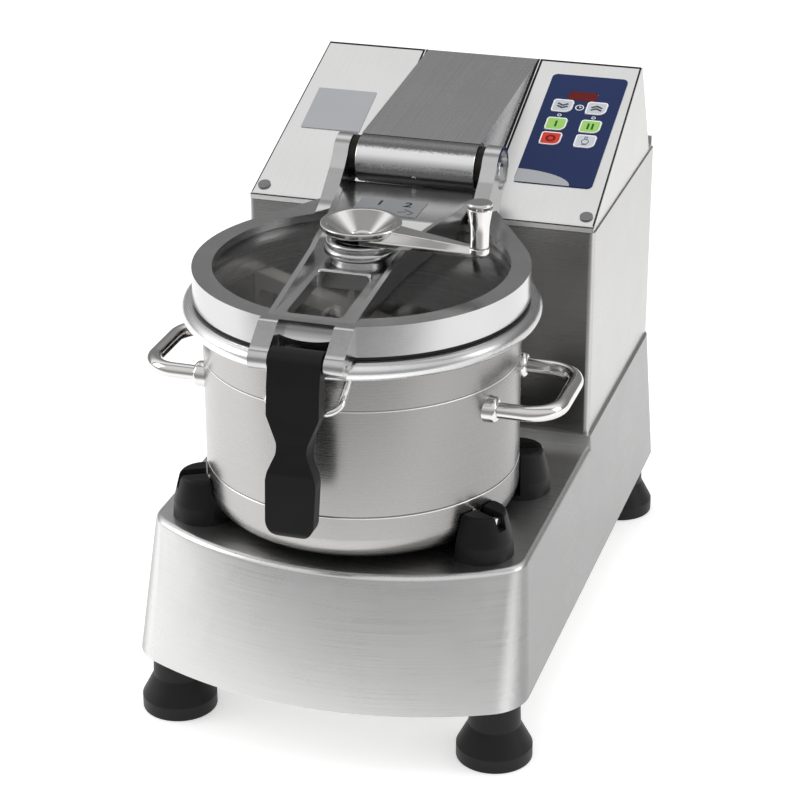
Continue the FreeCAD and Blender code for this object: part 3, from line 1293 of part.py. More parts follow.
def motor_bracket():
    """Plate under the motor on two rails that stand on the plinth."""
    low, high = MOTOR_LOW - BRACKET_T, MOTOR_LOW
    front, rear = COL_FRONT + BRACKET_INSET, COL_REAR - BRACKET_INSET
    plate = rounded_block(BRACKET_HALF, front, rear, low, high, 6)
    rail = box(BRACKET_HALF - BRACKET_FOOT_W, BRACKET_HALF, front, rear, PLINTH_Z, low)
    return plate.fuse([rail, mirrored(rail)]).cut(disc(MOTOR_SHAFT_R + 19, low - 5, high + 5, 0, MOTOR_Y))


def speed_controller():
    """The motor's electronics in a box on the column's front wall."""
    low = MOTOR_LOW + CONTROLLER_LIFT
    front = COL_FRONT + SHEET + GAP
    return rounded_block(CONTROLLER_HALF, front, front + CONTROLLER_D, low, low + CONTROLLER_H, 3)


# Small pieces on the outside

def cable_gland():
    """Hexagon and dome where the lead enters, with its thread through the casing."""
    hexagon = []
    for corner in range(6):
        angle = math.radians(60 * corner)
        x = GLAND_X + GLAND_NUT_R * math.cos(angle)
        z = GLAND_Z + GLAND_NUT_R * math.sin(angle)
        hexagon.append((x, z, 1.5))

    def tube(r, y0, y1):
        return rod(r, (GLAND_X, y0, GLAND_Z), (GLAND_X, y1, GLAND_Z))

    nut = prism_y(hexagon, BASE_REAR, BASE_REAR + GLAND_NUT_T)
    dome = tube(GLAND_DOME_R, BASE_REAR + GLAND_NUT_T, GLAND_END)
    dome = dome.makeFillet(3, [e for e in dome.Edges if e.BoundBox.YMin > GLAND_END - 1])
    thread = tube(GLAND_R, BASE_REAR - 12, BASE_REAR)
    return nut.fuse([dome, thread]).cut(tube(GLAND_BORE_R, BASE_REAR - 20, GLAND_END + 5))


def rear_hook():
    """Folded strip on the column's top that holds the head cover's back."""
    front, back = HEAD_BACK + GAP, COL_REAR - 3
    top = COL_TOP + HOOK_H
    return prism_x([(front, COL_TOP, 0), (back, COL_TOP, 0), (back, top, 1), (back - HOOK_T, top, 0),
                    (back - HOOK_T, COL_TOP + HOOK_T, 0), (front, COL_TOP + HOOK_T, 0)],
                   HOOK_X, HOOK_X + HOOK_W)


def main():
    os.makedirs("parts", exist_ok=True)
    save("base_casing", base_casing())
    save("base_plate", base_plate())
    save("casing_screws", casing_screws())
    for side, name in ((-1, "left"), (1, "right")):
        save(f"foot_front_{name}", foot(side * FOOT_X, FOOT_FRONT_Y))
        save(f"foot_rear_{name}", foot(side * FOOT_X, FOOT_REAR_Y))
    save("column_housing", column_housing())
    save("rear_cover", rear_cover())
    save("head_cover", head_cover())
    save("control_panel", control_panel())
    save("panel_screws", panel_screws())
    save("keypad_foil", keypad_foil())
    save("display_lens", display_lens())
    save("control_board", control_board())
    for name, x, s in key_places():
        save(name, key(x, s))
    save("blank_plate", blank_plate())
    save("rear_hook", rear_hook())
    save("cable_gland", cable_gland())
    save("hinge_housing", hinge_housing())
    save("hinge_barrel", hinge_barrel())
    save("hinge_bushes", hinge_bushes())
    save("hinge_pin", hinge_pin())
    save("bowl", bowl())
    right = handle()
    save("bowl_handle_left", mirrored(right))
    save("bowl_handle_right", right)
    save("bowl_catch", bowl_catch())
    save("bowl_pins", bowl_pins())
    for side_x, side_y, name in POST_SIDES:
        save(f"bowl_post_{name}", bowl_post(side_x, side_y))
    save("lid_frame", lid_frame())
    save("lid_window", lid_window())
    save("lid_seal", lid_seal())
    save("label_plate", label_plate())
    save("latch_pin", latch_pin())
    save("latch_lever", latch_lever())
    save("crank", crank())
    save("crank_grip", crank_grip())
    save("scraper", scraper())
    save("spindle", spindle())
    save("rotor_hub", rotor_hub())
    save("rotor_blades", rotor_blades())
    save("rotor_cap", rotor_cap())
    save("driven_pulley", pulley(0, DRIVEN_R, SPINDLE_R))
    save("bearing_housing", bearing_housing())
    save("spindle_bearings", spindle_bearings())
    save("shaft_seal", shaft_seal())
    save("drive_belt", drive_belt())
    save("drive_pulley", pulley(MOTOR_Y, DRIVE_R, MOTOR_SHAFT_R))
    save("motor_shaft", motor_shaft())
    save("motor", motor())
    save("motor_bracket", motor_bracket())
    save("speed_controller", speed_controller())


main()
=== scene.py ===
"""The looks of a bench bowl cutter: studio, camera, finishes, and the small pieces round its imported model."""

import json
import logging
import math
from contextlib import contextmanager
from dataclasses import dataclass, field
from enum import Enum
from typing import Callable, Dict, Iterator, List, Optional, Sequence, Tuple, Union

import bmesh
import bpy
from mathutils import Matrix, Vector


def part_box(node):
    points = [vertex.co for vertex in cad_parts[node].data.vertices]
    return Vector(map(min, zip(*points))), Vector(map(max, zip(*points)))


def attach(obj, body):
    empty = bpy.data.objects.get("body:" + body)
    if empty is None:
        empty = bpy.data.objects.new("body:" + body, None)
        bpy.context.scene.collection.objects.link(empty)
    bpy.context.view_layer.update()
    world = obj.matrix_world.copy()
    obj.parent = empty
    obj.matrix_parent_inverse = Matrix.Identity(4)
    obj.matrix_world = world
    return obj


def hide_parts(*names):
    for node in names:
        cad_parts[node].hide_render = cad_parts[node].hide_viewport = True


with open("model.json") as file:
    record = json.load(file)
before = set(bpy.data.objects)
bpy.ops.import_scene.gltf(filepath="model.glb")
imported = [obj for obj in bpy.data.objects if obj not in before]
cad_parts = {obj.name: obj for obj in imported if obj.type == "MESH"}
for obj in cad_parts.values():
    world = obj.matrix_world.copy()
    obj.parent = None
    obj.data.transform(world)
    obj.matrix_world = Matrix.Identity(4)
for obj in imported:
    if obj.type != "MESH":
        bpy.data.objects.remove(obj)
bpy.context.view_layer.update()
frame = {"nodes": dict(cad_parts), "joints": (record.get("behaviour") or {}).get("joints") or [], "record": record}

LOG = logging.getLogger("bowl_cutter")
MM = 0.001
SAME_POINT = 0.001 * MM  # corners closer than this are one
SAME_PLANE = math.radians(0.5)  # faces that turn less than this are one
ON_FACE = 0.05 * MM  # corners this close to a level lie on it
STRAIGHT = 0.99  # a direction this much along another one is the same
CORNER_STEPS = 5  # faces round a bar's corner
CAP_SHARE = 0.7  # height of a number, as a share of its font size
Colour = Tuple[float, float, float]
Piece = bpy.types.Object


# The frame's own facts

def body_of(node: str) -> str:
    """Name of the body that a node belongs to.

    Args:
        node: the node's name.

    Returns:
        The name of its body.
    """
    bodies = frame["record"]["behaviour"]["bodies"]
    return next(body for body, members in bodies.items() if node in members)


def slot_of(node: str) -> str:
    """Name of a node's material slot in the record.

    Args:
        node: the node's name.

    Returns:
        The slot's name.
    """
    return next(part["material_slot"] for part in frame["record"]["subparts"] if part["node"] == node)


def reach(node: str, way: Vector) -> Tuple[float, float]:
    """How far a node reaches along a direction.

    Args:
        node: the node's name.
        way: a unit vector.

    Returns:
        The least and the greatest distance of its corners along that direction.
    """
    along = [corner.co.dot(way) for corner in frame["nodes"][node].data.vertices]
    return min(along), max(along)


def joint_axis(name: str) -> Vector:
    """A joint's axis, as a unit vector."""
    return Vector(next(joint for joint in frame["joints"] if joint["name"] == name)["axis"]).normalized()


def middle(node: str) -> Vector:
    """The middle of a node's box."""
    low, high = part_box(node)
    return (low + high) / 2


# The modelling bench

def deselect() -> None:
    """Leave edit mode, with nothing selected."""
    if bpy.context.object is not None and bpy.context.object.mode != "OBJECT":
        bpy.ops.object.mode_set(mode="OBJECT")
    bpy.ops.object.select_all(action="DESELECT")


def take(piece: Piece) -> None:
    """Make a piece the only selected one, and the active one.

    Args:
        piece: the piece.
    """
    deselect()
    piece.select_set(True)
    bpy.context.view_layer.objects.active = piece


@contextmanager
def editing(piece: Piece, kind: str = "FACE") -> Iterator[bpy.types.Mesh]:
    """Work on a piece in edit mode.

    Args:
        piece: the piece to edit.
        kind: VERT, EDGE or FACE, what the selection picks.

    Returns:
        The piece's mesh, until the block ends.
    """
    take(piece)
    bpy.ops.object.mode_set(mode="EDIT")
    bpy.ops.mesh.select_mode(type=kind)
    yield piece.data
    bpy.ops.object.mode_set(mode="OBJECT")


def pick(piece: Piece, kind: str, test: Callable[[object], bool]) -> None:
    """Select the faces, edges or corners of a piece in edit mode that pass a test.

    Args:
        piece: the piece in edit mode.
        kind: faces, edges or verts.
        test: says whether one of them is wanted.
    """
    bpy.ops.mesh.select_all(action="DESELECT")
    mesh = bmesh.from_edit_mesh(piece.data)
    for item in getattr(mesh, kind):
        if test(item):
            item.select_set(True)
    mesh.select_flush_mode()
    bmesh.update_edit_mesh(piece.data)


def settle(piece: Piece) -> Piece:
    """Put a piece's place, turn and size into its mesh.

    Args:
        piece: the piece.

    Returns:
        The same piece.
    """
    take(piece)
    bpy.ops.object.transform_apply(location=True, rotation=True, scale=True)
    return piece


def modify(piece: Piece, kind: str, **settings: object) -> None:
    """Add a modifier to a piece and apply it.

    Args:
        piece: the piece.
        kind: the modifier's type.
        settings: its settings.
    """
    take(piece)
    modifier = piece.modifiers.new(kind.lower(), kind)
    for key, value in settings.items():
        setattr(modifier, key, value)
    bpy.ops.object.modifier_apply(modifier=modifier.name)


def smooth(piece: Piece, degrees: float = 35.0) -> Piece:
    """Shade a piece smooth, apart from edges sharper than an angle.

    Args:
        piece: the piece.
        degrees: edges sharper than this stay sharp.

    Returns:
        The same piece.
    """
    take(piece)
    bpy.ops.object.shade_smooth_by_angle(angle=math.radians(degrees))
    return piece


def join(pieces: Sequence[Piece], name: str) -> Piece:
    """Join pieces into one with a name.

    Args:
        pieces: what is joined; the first one stays.
        name: the result's name.

    Returns:
        The joined piece.
    """
    take(pieces[0])
    for piece in pieces[1:]:
        piece.select_set(True)
    if len(pieces) > 1:
        bpy.ops.object.join()
    pieces[0].name = name
    pieces[0].data.name = name
    return pieces[0]


def lay(piece: Piece, place: Matrix) -> Piece:
    """Lay a settled piece, made flat at the origin, onto a place."""
    piece.matrix_world = place
    return settle(piece)


def raise_outline(rise: float) -> None:
    """In edit mode, draw a flat outline up along Z into a closed piece whose faces point outward.

    Args:
        rise: how thick it becomes.
    """
    bpy.ops.mesh.select_all(action="SELECT")
    bpy.ops.mesh.extrude_region_move(TRANSFORM_OT_translate={"value": (0, 0, rise)})
    bpy.ops.mesh.select_all(action="SELECT")
    bpy.ops.mesh.normals_make_consistent(inside=False)


def bar(x: float, y: float, width: float, height: float, rise: float, turn: float = 0.0,
        corner: float = 0.0) -> Piece:
    """A flat bar on the XY plane, raised along Z.

    Args:
        x: middle, along X.
        y: middle, along Y.
        width: size along X before it is turned.
        height: size along Y before it is turned.
        rise: thickness.
        turn: angle in degrees about its middle.
        corner: radius of its corners.

    Returns:
        The bar.
    """
    deselect()
    bpy.ops.mesh.primitive_plane_add(size=1.0)
    piece = bpy.context.object
    piece.scale = (width, height, 1.0)
    settle(piece)
    with editing(piece, "VERT"):
        if corner > 0:
            bpy.ops.mesh.select_all(action="SELECT")
            bpy.ops.mesh.bevel(offset=corner, segments=CORNER_STEPS, affect="VERTICES")
        raise_outline(rise)
    piece.rotation_euler = (0, 0, math.radians(turn))
    piece.location = (x, y, 0)
    return settle(piece)


def hoop(x: float, y: float, outer: float, inner: float, rise: float, sides: int = 40) -> Piece:
    """A flat ring on the XY plane, raised along Z.

    Args:
        x: middle, along X.
        y: middle, along Y.
        outer: outer radius.
        inner: inner radius, or 0 for a disc.
        rise: thickness.
        sides: how many sides its circle has.

    Returns:
        The ring.
    """
    deselect()
    bpy.ops.mesh.primitive_circle_add(vertices=sides, radius=outer, fill_type="NGON", location=(x, y, 0))
    piece = settle(bpy.context.object)
    with editing(piece):
        bpy.ops.mesh.select_all(action="SELECT")
        if inner > 0:
            bpy.ops.mesh.inset(thickness=(outer - inner) * math.cos(math.pi / sides))
            bpy.ops.mesh.delete(type="FACE")
        raise_outline(rise)
    return piece


def lathe(rings: Sequence[Tuple[float, float]], centre: Vector, sides: int = 32) -> Piece:
    """A turned piece, drawn out ring by ring from a circle.

    Args:
        rings: (radius, height) of each ring, from the lower closed end to the upper one.
        centre: the axis' foot.
        sides: how many sides its circles have.

    Returns:
        The turned piece, closed at both ends.
    """
    deselect()
    radius, height = rings[0]
    at = centre + Vector((0, 0, height))
    bpy.ops.mesh.primitive_circle_add(vertices=sides, radius=radius, fill_type="NGON", location=at)
    piece = settle(bpy.context.object)
    with editing(piece):
        bpy.ops.mesh.select_all(action="SELECT")
        for new_radius, new_height in rings[1:]:
            bpy.ops.mesh.extrude_region_move(
                TRANSFORM_OT_translate={"value": (0, 0, new_height - height)})
            share = new_radius / radius
            bpy.ops.transform.resize(value=(share, share, 1),
                                     center_override=centre + Vector((0, 0, new_height)))
            radius, height = new_radius, new_height
        bpy.ops.mesh.select_all(action="SELECT")
        bpy.ops.mesh.normals_make_consistent(inside=False)
    return piece


def word(text: str, x: float, y: float, height: float, rise: float, weight: float = 0.0) -> Piece:
    """A number in the plain font, flat on the XY plane and raised along Z.

    Args:
        text: what it says.
        x: its middle, along X.
        y: its middle, along Y.
        height: its height.
        rise: thickness.
        weight: how much its strokes are thickened.

    Returns:
        The number as a mesh.
    """
    deselect()
    bpy.ops.object.text_add()
    piece = bpy.context.object
    piece.data.body = text
    piece.data.align_x = "CENTER"
    piece.data.align_y = "CENTER"
    piece.data.size = height / CAP_SHARE
    piece.data.extrude = rise / 2
    piece.data.offset = weight
    bpy.ops.object.convert(target="MESH")
    piece = bpy.context.object
    piece.location = (x, y, rise / 2)
    settle(piece)
    with editing(piece, "VERT"):
        bpy.ops.mesh.select_all(action="SELECT")
        bpy.ops.mesh.remove_doubles(threshold=SAME_POINT)
    return piece


def merged_copy(node: str, name: str) -> Piece:
    """A copy of a node's mesh whose triangles are merged into whole faces.

    Args:
        node: the node's name.
        name: the copy's name.

    Returns:
        The copy.
    """
    copy = bpy.data.objects.new(name, frame["nodes"][node].data.copy())
    bpy.context.scene.collection.objects.link(copy)
    copy.data.materials.clear()
    take(copy)
    if copy.data.has_custom_normals:
        bpy.ops.mesh.customdata_custom_splitnormals_clear()
    with editing(copy, "VERT"):
        bpy.ops.mesh.select_all(action="SELECT")
        bpy.ops.mesh.remove_doubles(threshold=SAME_POINT)
        bpy.ops.mesh.dissolve_limited(angle_limit=SAME_PLANE)
    return copy


def copied(piece: Piece, name: str) -> Piece:
    """A copy of a piece, with its own mesh and name.

    Args:
        piece: the piece that is copied.
        name: the copy's name.

    Returns:
        The copy.
    """
    copy = piece.copy()
    copy.data = piece.data.copy()
    copy.name = copy.data.name = name
    bpy.context.scene.collection.objects.link(copy)
    return copy


def round_edges(piece: Piece, radius: float, segments: int, degrees: float = 30.0) -> None:
    """Round a piece's sharp edges and shade it smooth.

    Args:
        piece: the piece.
        radius: radius of the rounded edges.
        segments: how many faces go round an edge.
        degrees: edges sharper than this are rounded.
    """
    modify(piece, "BEVEL", width=radius, segments=segments, limit_method="ANGLE",
           angle_limit=math.radians(degrees), miter_outer="MITER_ARC")
    smooth(piece, degrees)
    modify(piece, "WEIGHTED_NORMAL", keep_sharp=True)


def stand_for(piece: Piece, node: str) -> Piece:
    """Let a piece replace a node: the node is hidden, and the piece rides on the node's body."""
    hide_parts(node)
    return add_to(piece, slot_of(node), body_of(node))


def add_to(piece: Piece, slot: str, body: str) -> Piece:
    """Let a piece ride on a body."""
    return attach(piece, body)


def softened(node: str, name: str, radius: float, segments: int = 2) -> Piece:
    """A copy of a node with its sharp edges rounded, which stands for the node.

    Args:
        node: the node's name.
        name: the copy's name.
        radius: radius of the rounded edges.
        segments: how many faces go round an edge.

    Returns:
        The copy, riding on the node's body.
    """
    copy = merged_copy(node, name)
    round_edges(copy, radius, segments)
    return stand_for(copy, node)


def mark_facing(piece: Piece) -> None:
    """Write on a piece's corners how far they face along x, y and z, for a grain that differs by side and for
    painted shade on what faces sideways or forward.

    Args:
        piece: the piece.
    """
    mesh = piece.data
    marks = mesh.attributes.get("facing") or mesh.attributes.new("facing", "FLOAT_VECTOR", "CORNER")
    marks.data.foreach_set("vector", [abs(part) for corner in mesh.corner_normals for part in corner.vector])


# Shader maths and node trees

class Number:
    """A number socket that takes part in sums and products, each of which adds a Math node."""

    def __init__(self, book: "NodeBook", socket: bpy.types.NodeSocket) -> None:
        """Keep the socket and the tree that it belongs to."""
        self.book = book
        self.socket = socket

    def maths(self, operation: str, *values: "Operand") -> "Number":
        """The result of a Math node.

        Args:
            operation: the node's operation.
            values: what goes into its sockets, in order.

        Returns:
            The result, as a Number.
        """
        node = self.book.node("ShaderNodeMath", {"operation": operation}, dict(enumerate(values)))
        return Number(self.book, node.outputs[0])

    def __add__(self, other: "Operand") -> "Number":
        """This plus other."""
        return self.maths("ADD", self, other)

    __radd__ = __add__

    def __sub__(self, other: "Operand") -> "Number":
        """This minus other."""
        return self.maths("SUBTRACT", self, other)

    def __rsub__(self, other: "Operand") -> "Number":
        """Other minus this."""
        return self.maths("SUBTRACT", other, self)

    def __mul__(self, other: "Operand") -> "Number":
        """This times other."""
        return self.maths("MULTIPLY", self, other)

    __rmul__ = __mul__

    def __truediv__(self, other: "Operand") -> "Number":
        """This divided by other."""
        return self.maths("DIVIDE", self, other)

    def __pow__(self, other: "Operand") -> "Number":
        """This to the power of other."""
        return self.maths("POWER", self, other)

    def __abs__(self) -> "Number":
        """This without its sign."""
        return self.maths("ABSOLUTE", self)

    def above(self, edge: "Operand") -> "Number":
        """1 where this is above an edge, else 0."""
        return self.maths("GREATER_THAN", self, edge)

    def span(self, low: float, high: float) -> "Number":
        """0 below a low value, 1 above a high one, and smooth between."""
        made = self.book.node("ShaderNodeMapRange", {"interpolation_type": "SMOOTHSTEP"},
                              {0: self, 1: low, 2: high, 3: 0.0, 4: 1.0})
        return Number(self.book, made.outputs[0])

    def swing(self, width: float) -> "Number":
        """A noise about a half, as one about zero with another width."""
        return (self - 0.5) * width

    def mixed(self, other: "Number", share: float) -> "Number":
        """A share of this and the rest of another."""
        return self * share + other * (1.0 - share)

    def near(self, value: float, width: float) -> "Number":
        """1 where this is within a width of a value, else 0."""
        return 1.0 - abs(self - value).above(width)


Operand = Union[float, Number]
Socket = Union[float, Sequence[float], Number, bpy.types.NodeSocket]


class NodeBook:
    """The node tree of one material, or of the world."""

    def __init__(self, name: str, owner: Optional[bpy.types.World] = None) -> None:
        """Start an empty tree.

        Args:
            name: a new material's name.
            owner: the world, where the tree is its own.
        """
        self.material = owner or bpy.data.materials.new(name)
        self.material.use_nodes = True
        self.tree = self.material.node_tree
        self.tree.nodes.clear()

    def node(self, kind: str, settings: Optional[Dict[str, object]] = None,
             inputs: Optional[Dict[Union[str, int], Socket]] = None) -> bpy.types.Node:
        """Add a node.

        Args:
            kind: the node's type.
            settings: its settings, or the stops of a ramp as (place, grey) pairs.
            inputs: values or links of its sockets, by name or number.

        Returns:
            The new node.
        """
        made = self.tree.nodes.new(kind)
        for key, value in (settings or {}).items():
            if key == "stops":
                elements = made.color_ramp.elements
                while len(elements) < len(value):
                    elements.new(0.5)
                for element, (place, grey) in zip(elements, value):
                    element.position = place
                    element.color = (grey, grey, grey, 1)
            else:
                setattr(made, key, value)
        for key, value in (inputs or {}).items():
            if isinstance(value, Number):
                self.tree.links.new(value.socket, made.inputs[key])
            elif isinstance(value, bpy.types.NodeSocket):
                self.tree.links.new(value, made.inputs[key])
            else:
                made.inputs[key].default_value = value
        return made

    def number(self, socket: bpy.types.NodeSocket) -> Number:
        """A socket as a Number."""
        return Number(self, socket)

    def place(self, scale: Sequence[float] = (1, 1, 1),
              shift: Sequence[float] = (0, 0, 0)) -> bpy.types.NodeSocket:
        """The piece's own coordinates, scaled and then shifted.

        Args:
            scale: factor for each axis.
            shift: what is added afterwards.

        Returns:
            The coordinates' socket.
        """
        here = self.node("ShaderNodeTexCoord").outputs["Object"]
        return self.node("ShaderNodeMapping", {"vector_type": "POINT"},
                         {"Vector": here, "Scale": scale, "Location": shift}).outputs[0]

    def parts(self, vector: bpy.types.NodeSocket) -> List[Number]:
        """A vector's x, y and z as Numbers."""
        split = self.node("ShaderNodeSeparateXYZ", None, {0: vector})
        return [self.number(split.outputs[i]) for i in range(3)]

    def facing(self, axis: int) -> Number:
        """How far the surface faces along an axis, either way, as mark_facing wrote it on the piece."""
        marks = self.node("ShaderNodeAttribute", {"attribute_name": "facing"}).outputs["Vector"]
        return self.parts(marks)[axis]

    def noise(self, vector: bpy.types.NodeSocket, scale: float = 1.0, detail: float = 2.0) -> Number:
        """A noise between 0 and 1, about a half.

        Args:
            vector: where it is read.
            scale: how fine it is.
            detail: how many octaves it has.

        Returns:
            The noise.
        """
        made = self.node("ShaderNodeTexNoise", None, {"Vector": vector, "Scale": scale, "Detail": detail})
        return self.number(made.outputs[0])

    def blend(self, factor: Operand, low: Socket, high: Socket) -> bpy.types.NodeSocket:
        """A colour between two colours.

        Args:
            factor: 0 gives the first colour, 1 the second.
            low: the first colour.
            high: the second colour.

        Returns:
            The blended colour's socket.
        """
        colours = [(*c, 1.0) if isinstance(c, tuple) and len(c) == 3 else c for c in (low, high)]
        made = self.node("ShaderNodeMix", {"data_type": "RGBA"}, {0: factor, 6: colours[0], 7: colours[1]})
        return made.outputs[2]

    def bump(self, height: Number, depth: float) -> bpy.types.NodeSocket:
        """A normal pushed by a height.

        Args:
            height: the height, from 0 to 1.
            depth: how deep 1 is, in metres.

        Returns:
            The normal's socket.
        """
        made = self.node("ShaderNodeBump", None, {"Height": height, "Distance": depth, "Strength": 1.0})
        return made.outputs[0]

    def surface(self, **inputs: Socket) -> bpy.types.Material:
        """Close the tree with a Principled shader.

        Args:
            inputs: its sockets, with _ for a space in their names.

        Returns:
            The finished material.
        """
        named = {key.replace("_", " "): value for key, value in inputs.items()}
        shader = self.node("ShaderNodeBsdfPrincipled", None, named)
        self.node("ShaderNodeOutputMaterial", None, {"Surface": shader.outputs[0]})
        return self.material


# Finishes

class Grain(Enum):
    """Which way brushing runs, as how fast it changes along each axis, per metre."""

    ACROSS = (7.0, 1300.0, 1300.0)
    BACKWARDS = (1300.0, 7.0, 7.0)
    LEVEL = (7.0, 7.0, 1300.0)


def lighter(tone: Colour, factor: float) -> Colour:
    """A colour made lighter or darker by a factor."""
    return tuple(min(1.0, part * factor) for part in tone)


@dataclass(frozen=True)
class BrushedSheet:
    """Stainless sheet brushed in long strokes, level ones on its walls, with painted shade on what faces sideways
    or forward.

    Attributes:
        name: the material's name.
        tone: its mean colour.
        roughness: its mean roughness.
        flat_grain: which way the strokes run on what faces up.
        wall_grain: which way they run elsewhere.
        contrast: how far the strokes' colour goes from the mean, either way.
        depth: how deep they are, in metres.
        side_shade_share: share of the tone that is left on what faces sideways, as painted shade.
        front_shade_share: share of it that is left on what faces forward or back, as painted shade.
        flat_from: what faces up more than this has the flat grain.
        turned: between these, what faces a side takes that side's share of painted shade.
        hair: how much finer the hairs are than the strokes.
        cloud: how fast dull patches change, per metre.
    """

    name: str
    tone: Colour = (0.60, 0.595, 0.585)
    roughness: float = 0.30
    flat_grain: Grain = Grain.ACROSS
    wall_grain: Grain = Grain.LEVEL
    contrast: float = 0.14
    depth: float = 0.02 * MM
    side_shade_share: float = 1.0
    front_shade_share: float = 1.0
    flat_from: float = 0.6
    turned: Tuple[float, float] = (0.6, 0.95)
    hair: float = 3.1
    cloud: float = 14.0

    def brushed(self, book: NodeBook, fineness: float, detail: float) -> Number:
        """The brushing, level on the walls.

        Args:
            book: the material's nodes.
            fineness: how much finer it is than the grain.
            detail: how many octaves it has.

        Returns:
            The brushing, from 0 to 1.
        """
        flat, wall = (book.noise(book.place([fineness * part for part in grain.value]), 1.0, detail)
                      for grain in (self.flat_grain, self.wall_grain))
        upward = book.facing(2).above(self.flat_from)
        return upward * flat + (1.0 - upward) * wall

    def material(self) -> bpy.types.Material:
        """Build the finish.

        Returns:
            The material.
        """
        book = NodeBook(self.name)
        stroke, hair = self.brushed(book, 1.0, 3.0), self.brushed(book, self.hair, 1.0)
        cloud = book.noise(book.place(), self.cloud, 3.0)
        dark, pale = 1 - self.contrast, 1 + self.contrast
        colour = book.blend(stroke.mixed(hair, 0.7), lighter(self.tone, dark), lighter(self.tone, pale))
        # painted shade: darker copies of the brushing on what faces sideways or forward
        for axis, share in enumerate((self.side_shade_share, self.front_shade_share)):
            if share < 1:
                shaded_tones = [lighter(self.tone, share * part) for part in (dark, pale)]
                colour = book.blend(book.facing(axis).span(*self.turned), colour, book.blend(stroke, *shaded_tones))
        rough = self.roughness + stroke.swing(0.16) + cloud.swing(0.08)
        return book.surface(Base_Color=colour, Metallic=1.0, Roughness=rough,
                            Normal=book.bump(stroke.mixed(hair, 0.6), self.depth))


@dataclass(frozen=True)
class SpunSteel:
    """Stainless steel spun on a lathe, with fine rings about the bowl's axis, painted shade towards the far right,
    and at each step a dark line of painted shade with a painted highlight just below it.

    Attributes:
        name: the material's name.
        axis: x and y of the bowl's axis.
        lines: heights of the lines where the bowl's width changes.
        tone: its mean colour.
        roughness: its mean roughness.
        bead_from: height above which it is the bead.
        bead_tone: the bead's colour.
        rings: how fast the rings change outward and upward, per metre.
        drift: how fast they change round the bowl, per radian.
        cloud: how fast dull patches change, per metre.
        depth: how deep the rings are, in metres.
        right: how much of the painted shade the far right takes.
        right_shade_tone: the painted shade's colour there.
        right_shade_span: between these shares of the radius, the painted shade begins and is full.
        shade_line_width: half the width of a line of painted shade at a step.
        shade_line_tone: its colour.
        highlight_drop: how far below it the painted highlight lies.
        highlight_width: half the width of that highlight.
        highlight_tone: its colour.
    """

    name: str
    axis: Tuple[float, float]
    lines: Tuple[float, ...] = ()
    tone: Colour = (0.46, 0.452, 0.445)
    roughness: float = 0.27
    bead_from: float = 1.0
    bead_tone: Colour = (0.92, 0.92, 0.92)
    rings: float = 900.0
    drift: float = 0.8
    cloud: float = 9.0
    depth: float = 0.005 * MM
    right: float = 0.45
    right_shade_tone: Colour = (0.10, 0.097, 0.094)
    right_shade_span: Tuple[float, float] = (0.2, 0.9)
    shade_line_width: float = 0.6 * MM
    shade_line_tone: Colour = (0.15, 0.145, 0.14)
    highlight_drop: float = 1.1 * MM
    highlight_width: float = 0.5 * MM
    highlight_tone: Colour = (0.95, 0.94, 0.92)

    def material(self) -> bpy.types.Material:
        """Build the finish.

        Returns:
            The material.
        """
        book = NodeBook(self.name)
        x, y, z = book.parts(book.place((1, 1, 1), (-self.axis[0], -self.axis[1], 0)))
        angle = y.maths("ARCTAN2", y, x)
        radius = (x * x + y * y) ** 0.5
        turned = {0: angle * self.drift, 1: radius * self.rings, 2: z * self.rings}
        rings = book.noise(book.node("ShaderNodeCombineXYZ", None, turned).outputs[0], 1.0, 3.0)
        cloud = book.noise(book.place(), self.cloud, 2.0)
        colour = book.blend(rings, lighter(self.tone, 0.92), lighter(self.tone, 1.06))
        colour = book.blend(z.above(self.bead_from), colour, self.bead_tone)
        # painted shade towards the far right of the bowl
        colour = book.blend((x / radius).span(*self.right_shade_span) * self.right, colour, self.right_shade_tone)
        rough = self.roughness + rings.swing(0.12) + cloud.swing(0.06)
        # at each step: a line of painted shade, also rougher, and a painted highlight just below it
        for line in self.lines:
            shade_line, edge = z.near(line, self.shade_line_width), z.near(line - self.highlight_drop, self.highlight_width)
            rough = rough + shade_line * 0.2
            colour = book.blend(shade_line * 0.6, colour, self.shade_line_tone)
            colour = book.blend(edge * 0.7, colour, self.highlight_tone)
        return book.surface(Base_Color=colour, Metallic=1.0, Roughness=rough,
                            Normal=book.bump(rings, self.depth))


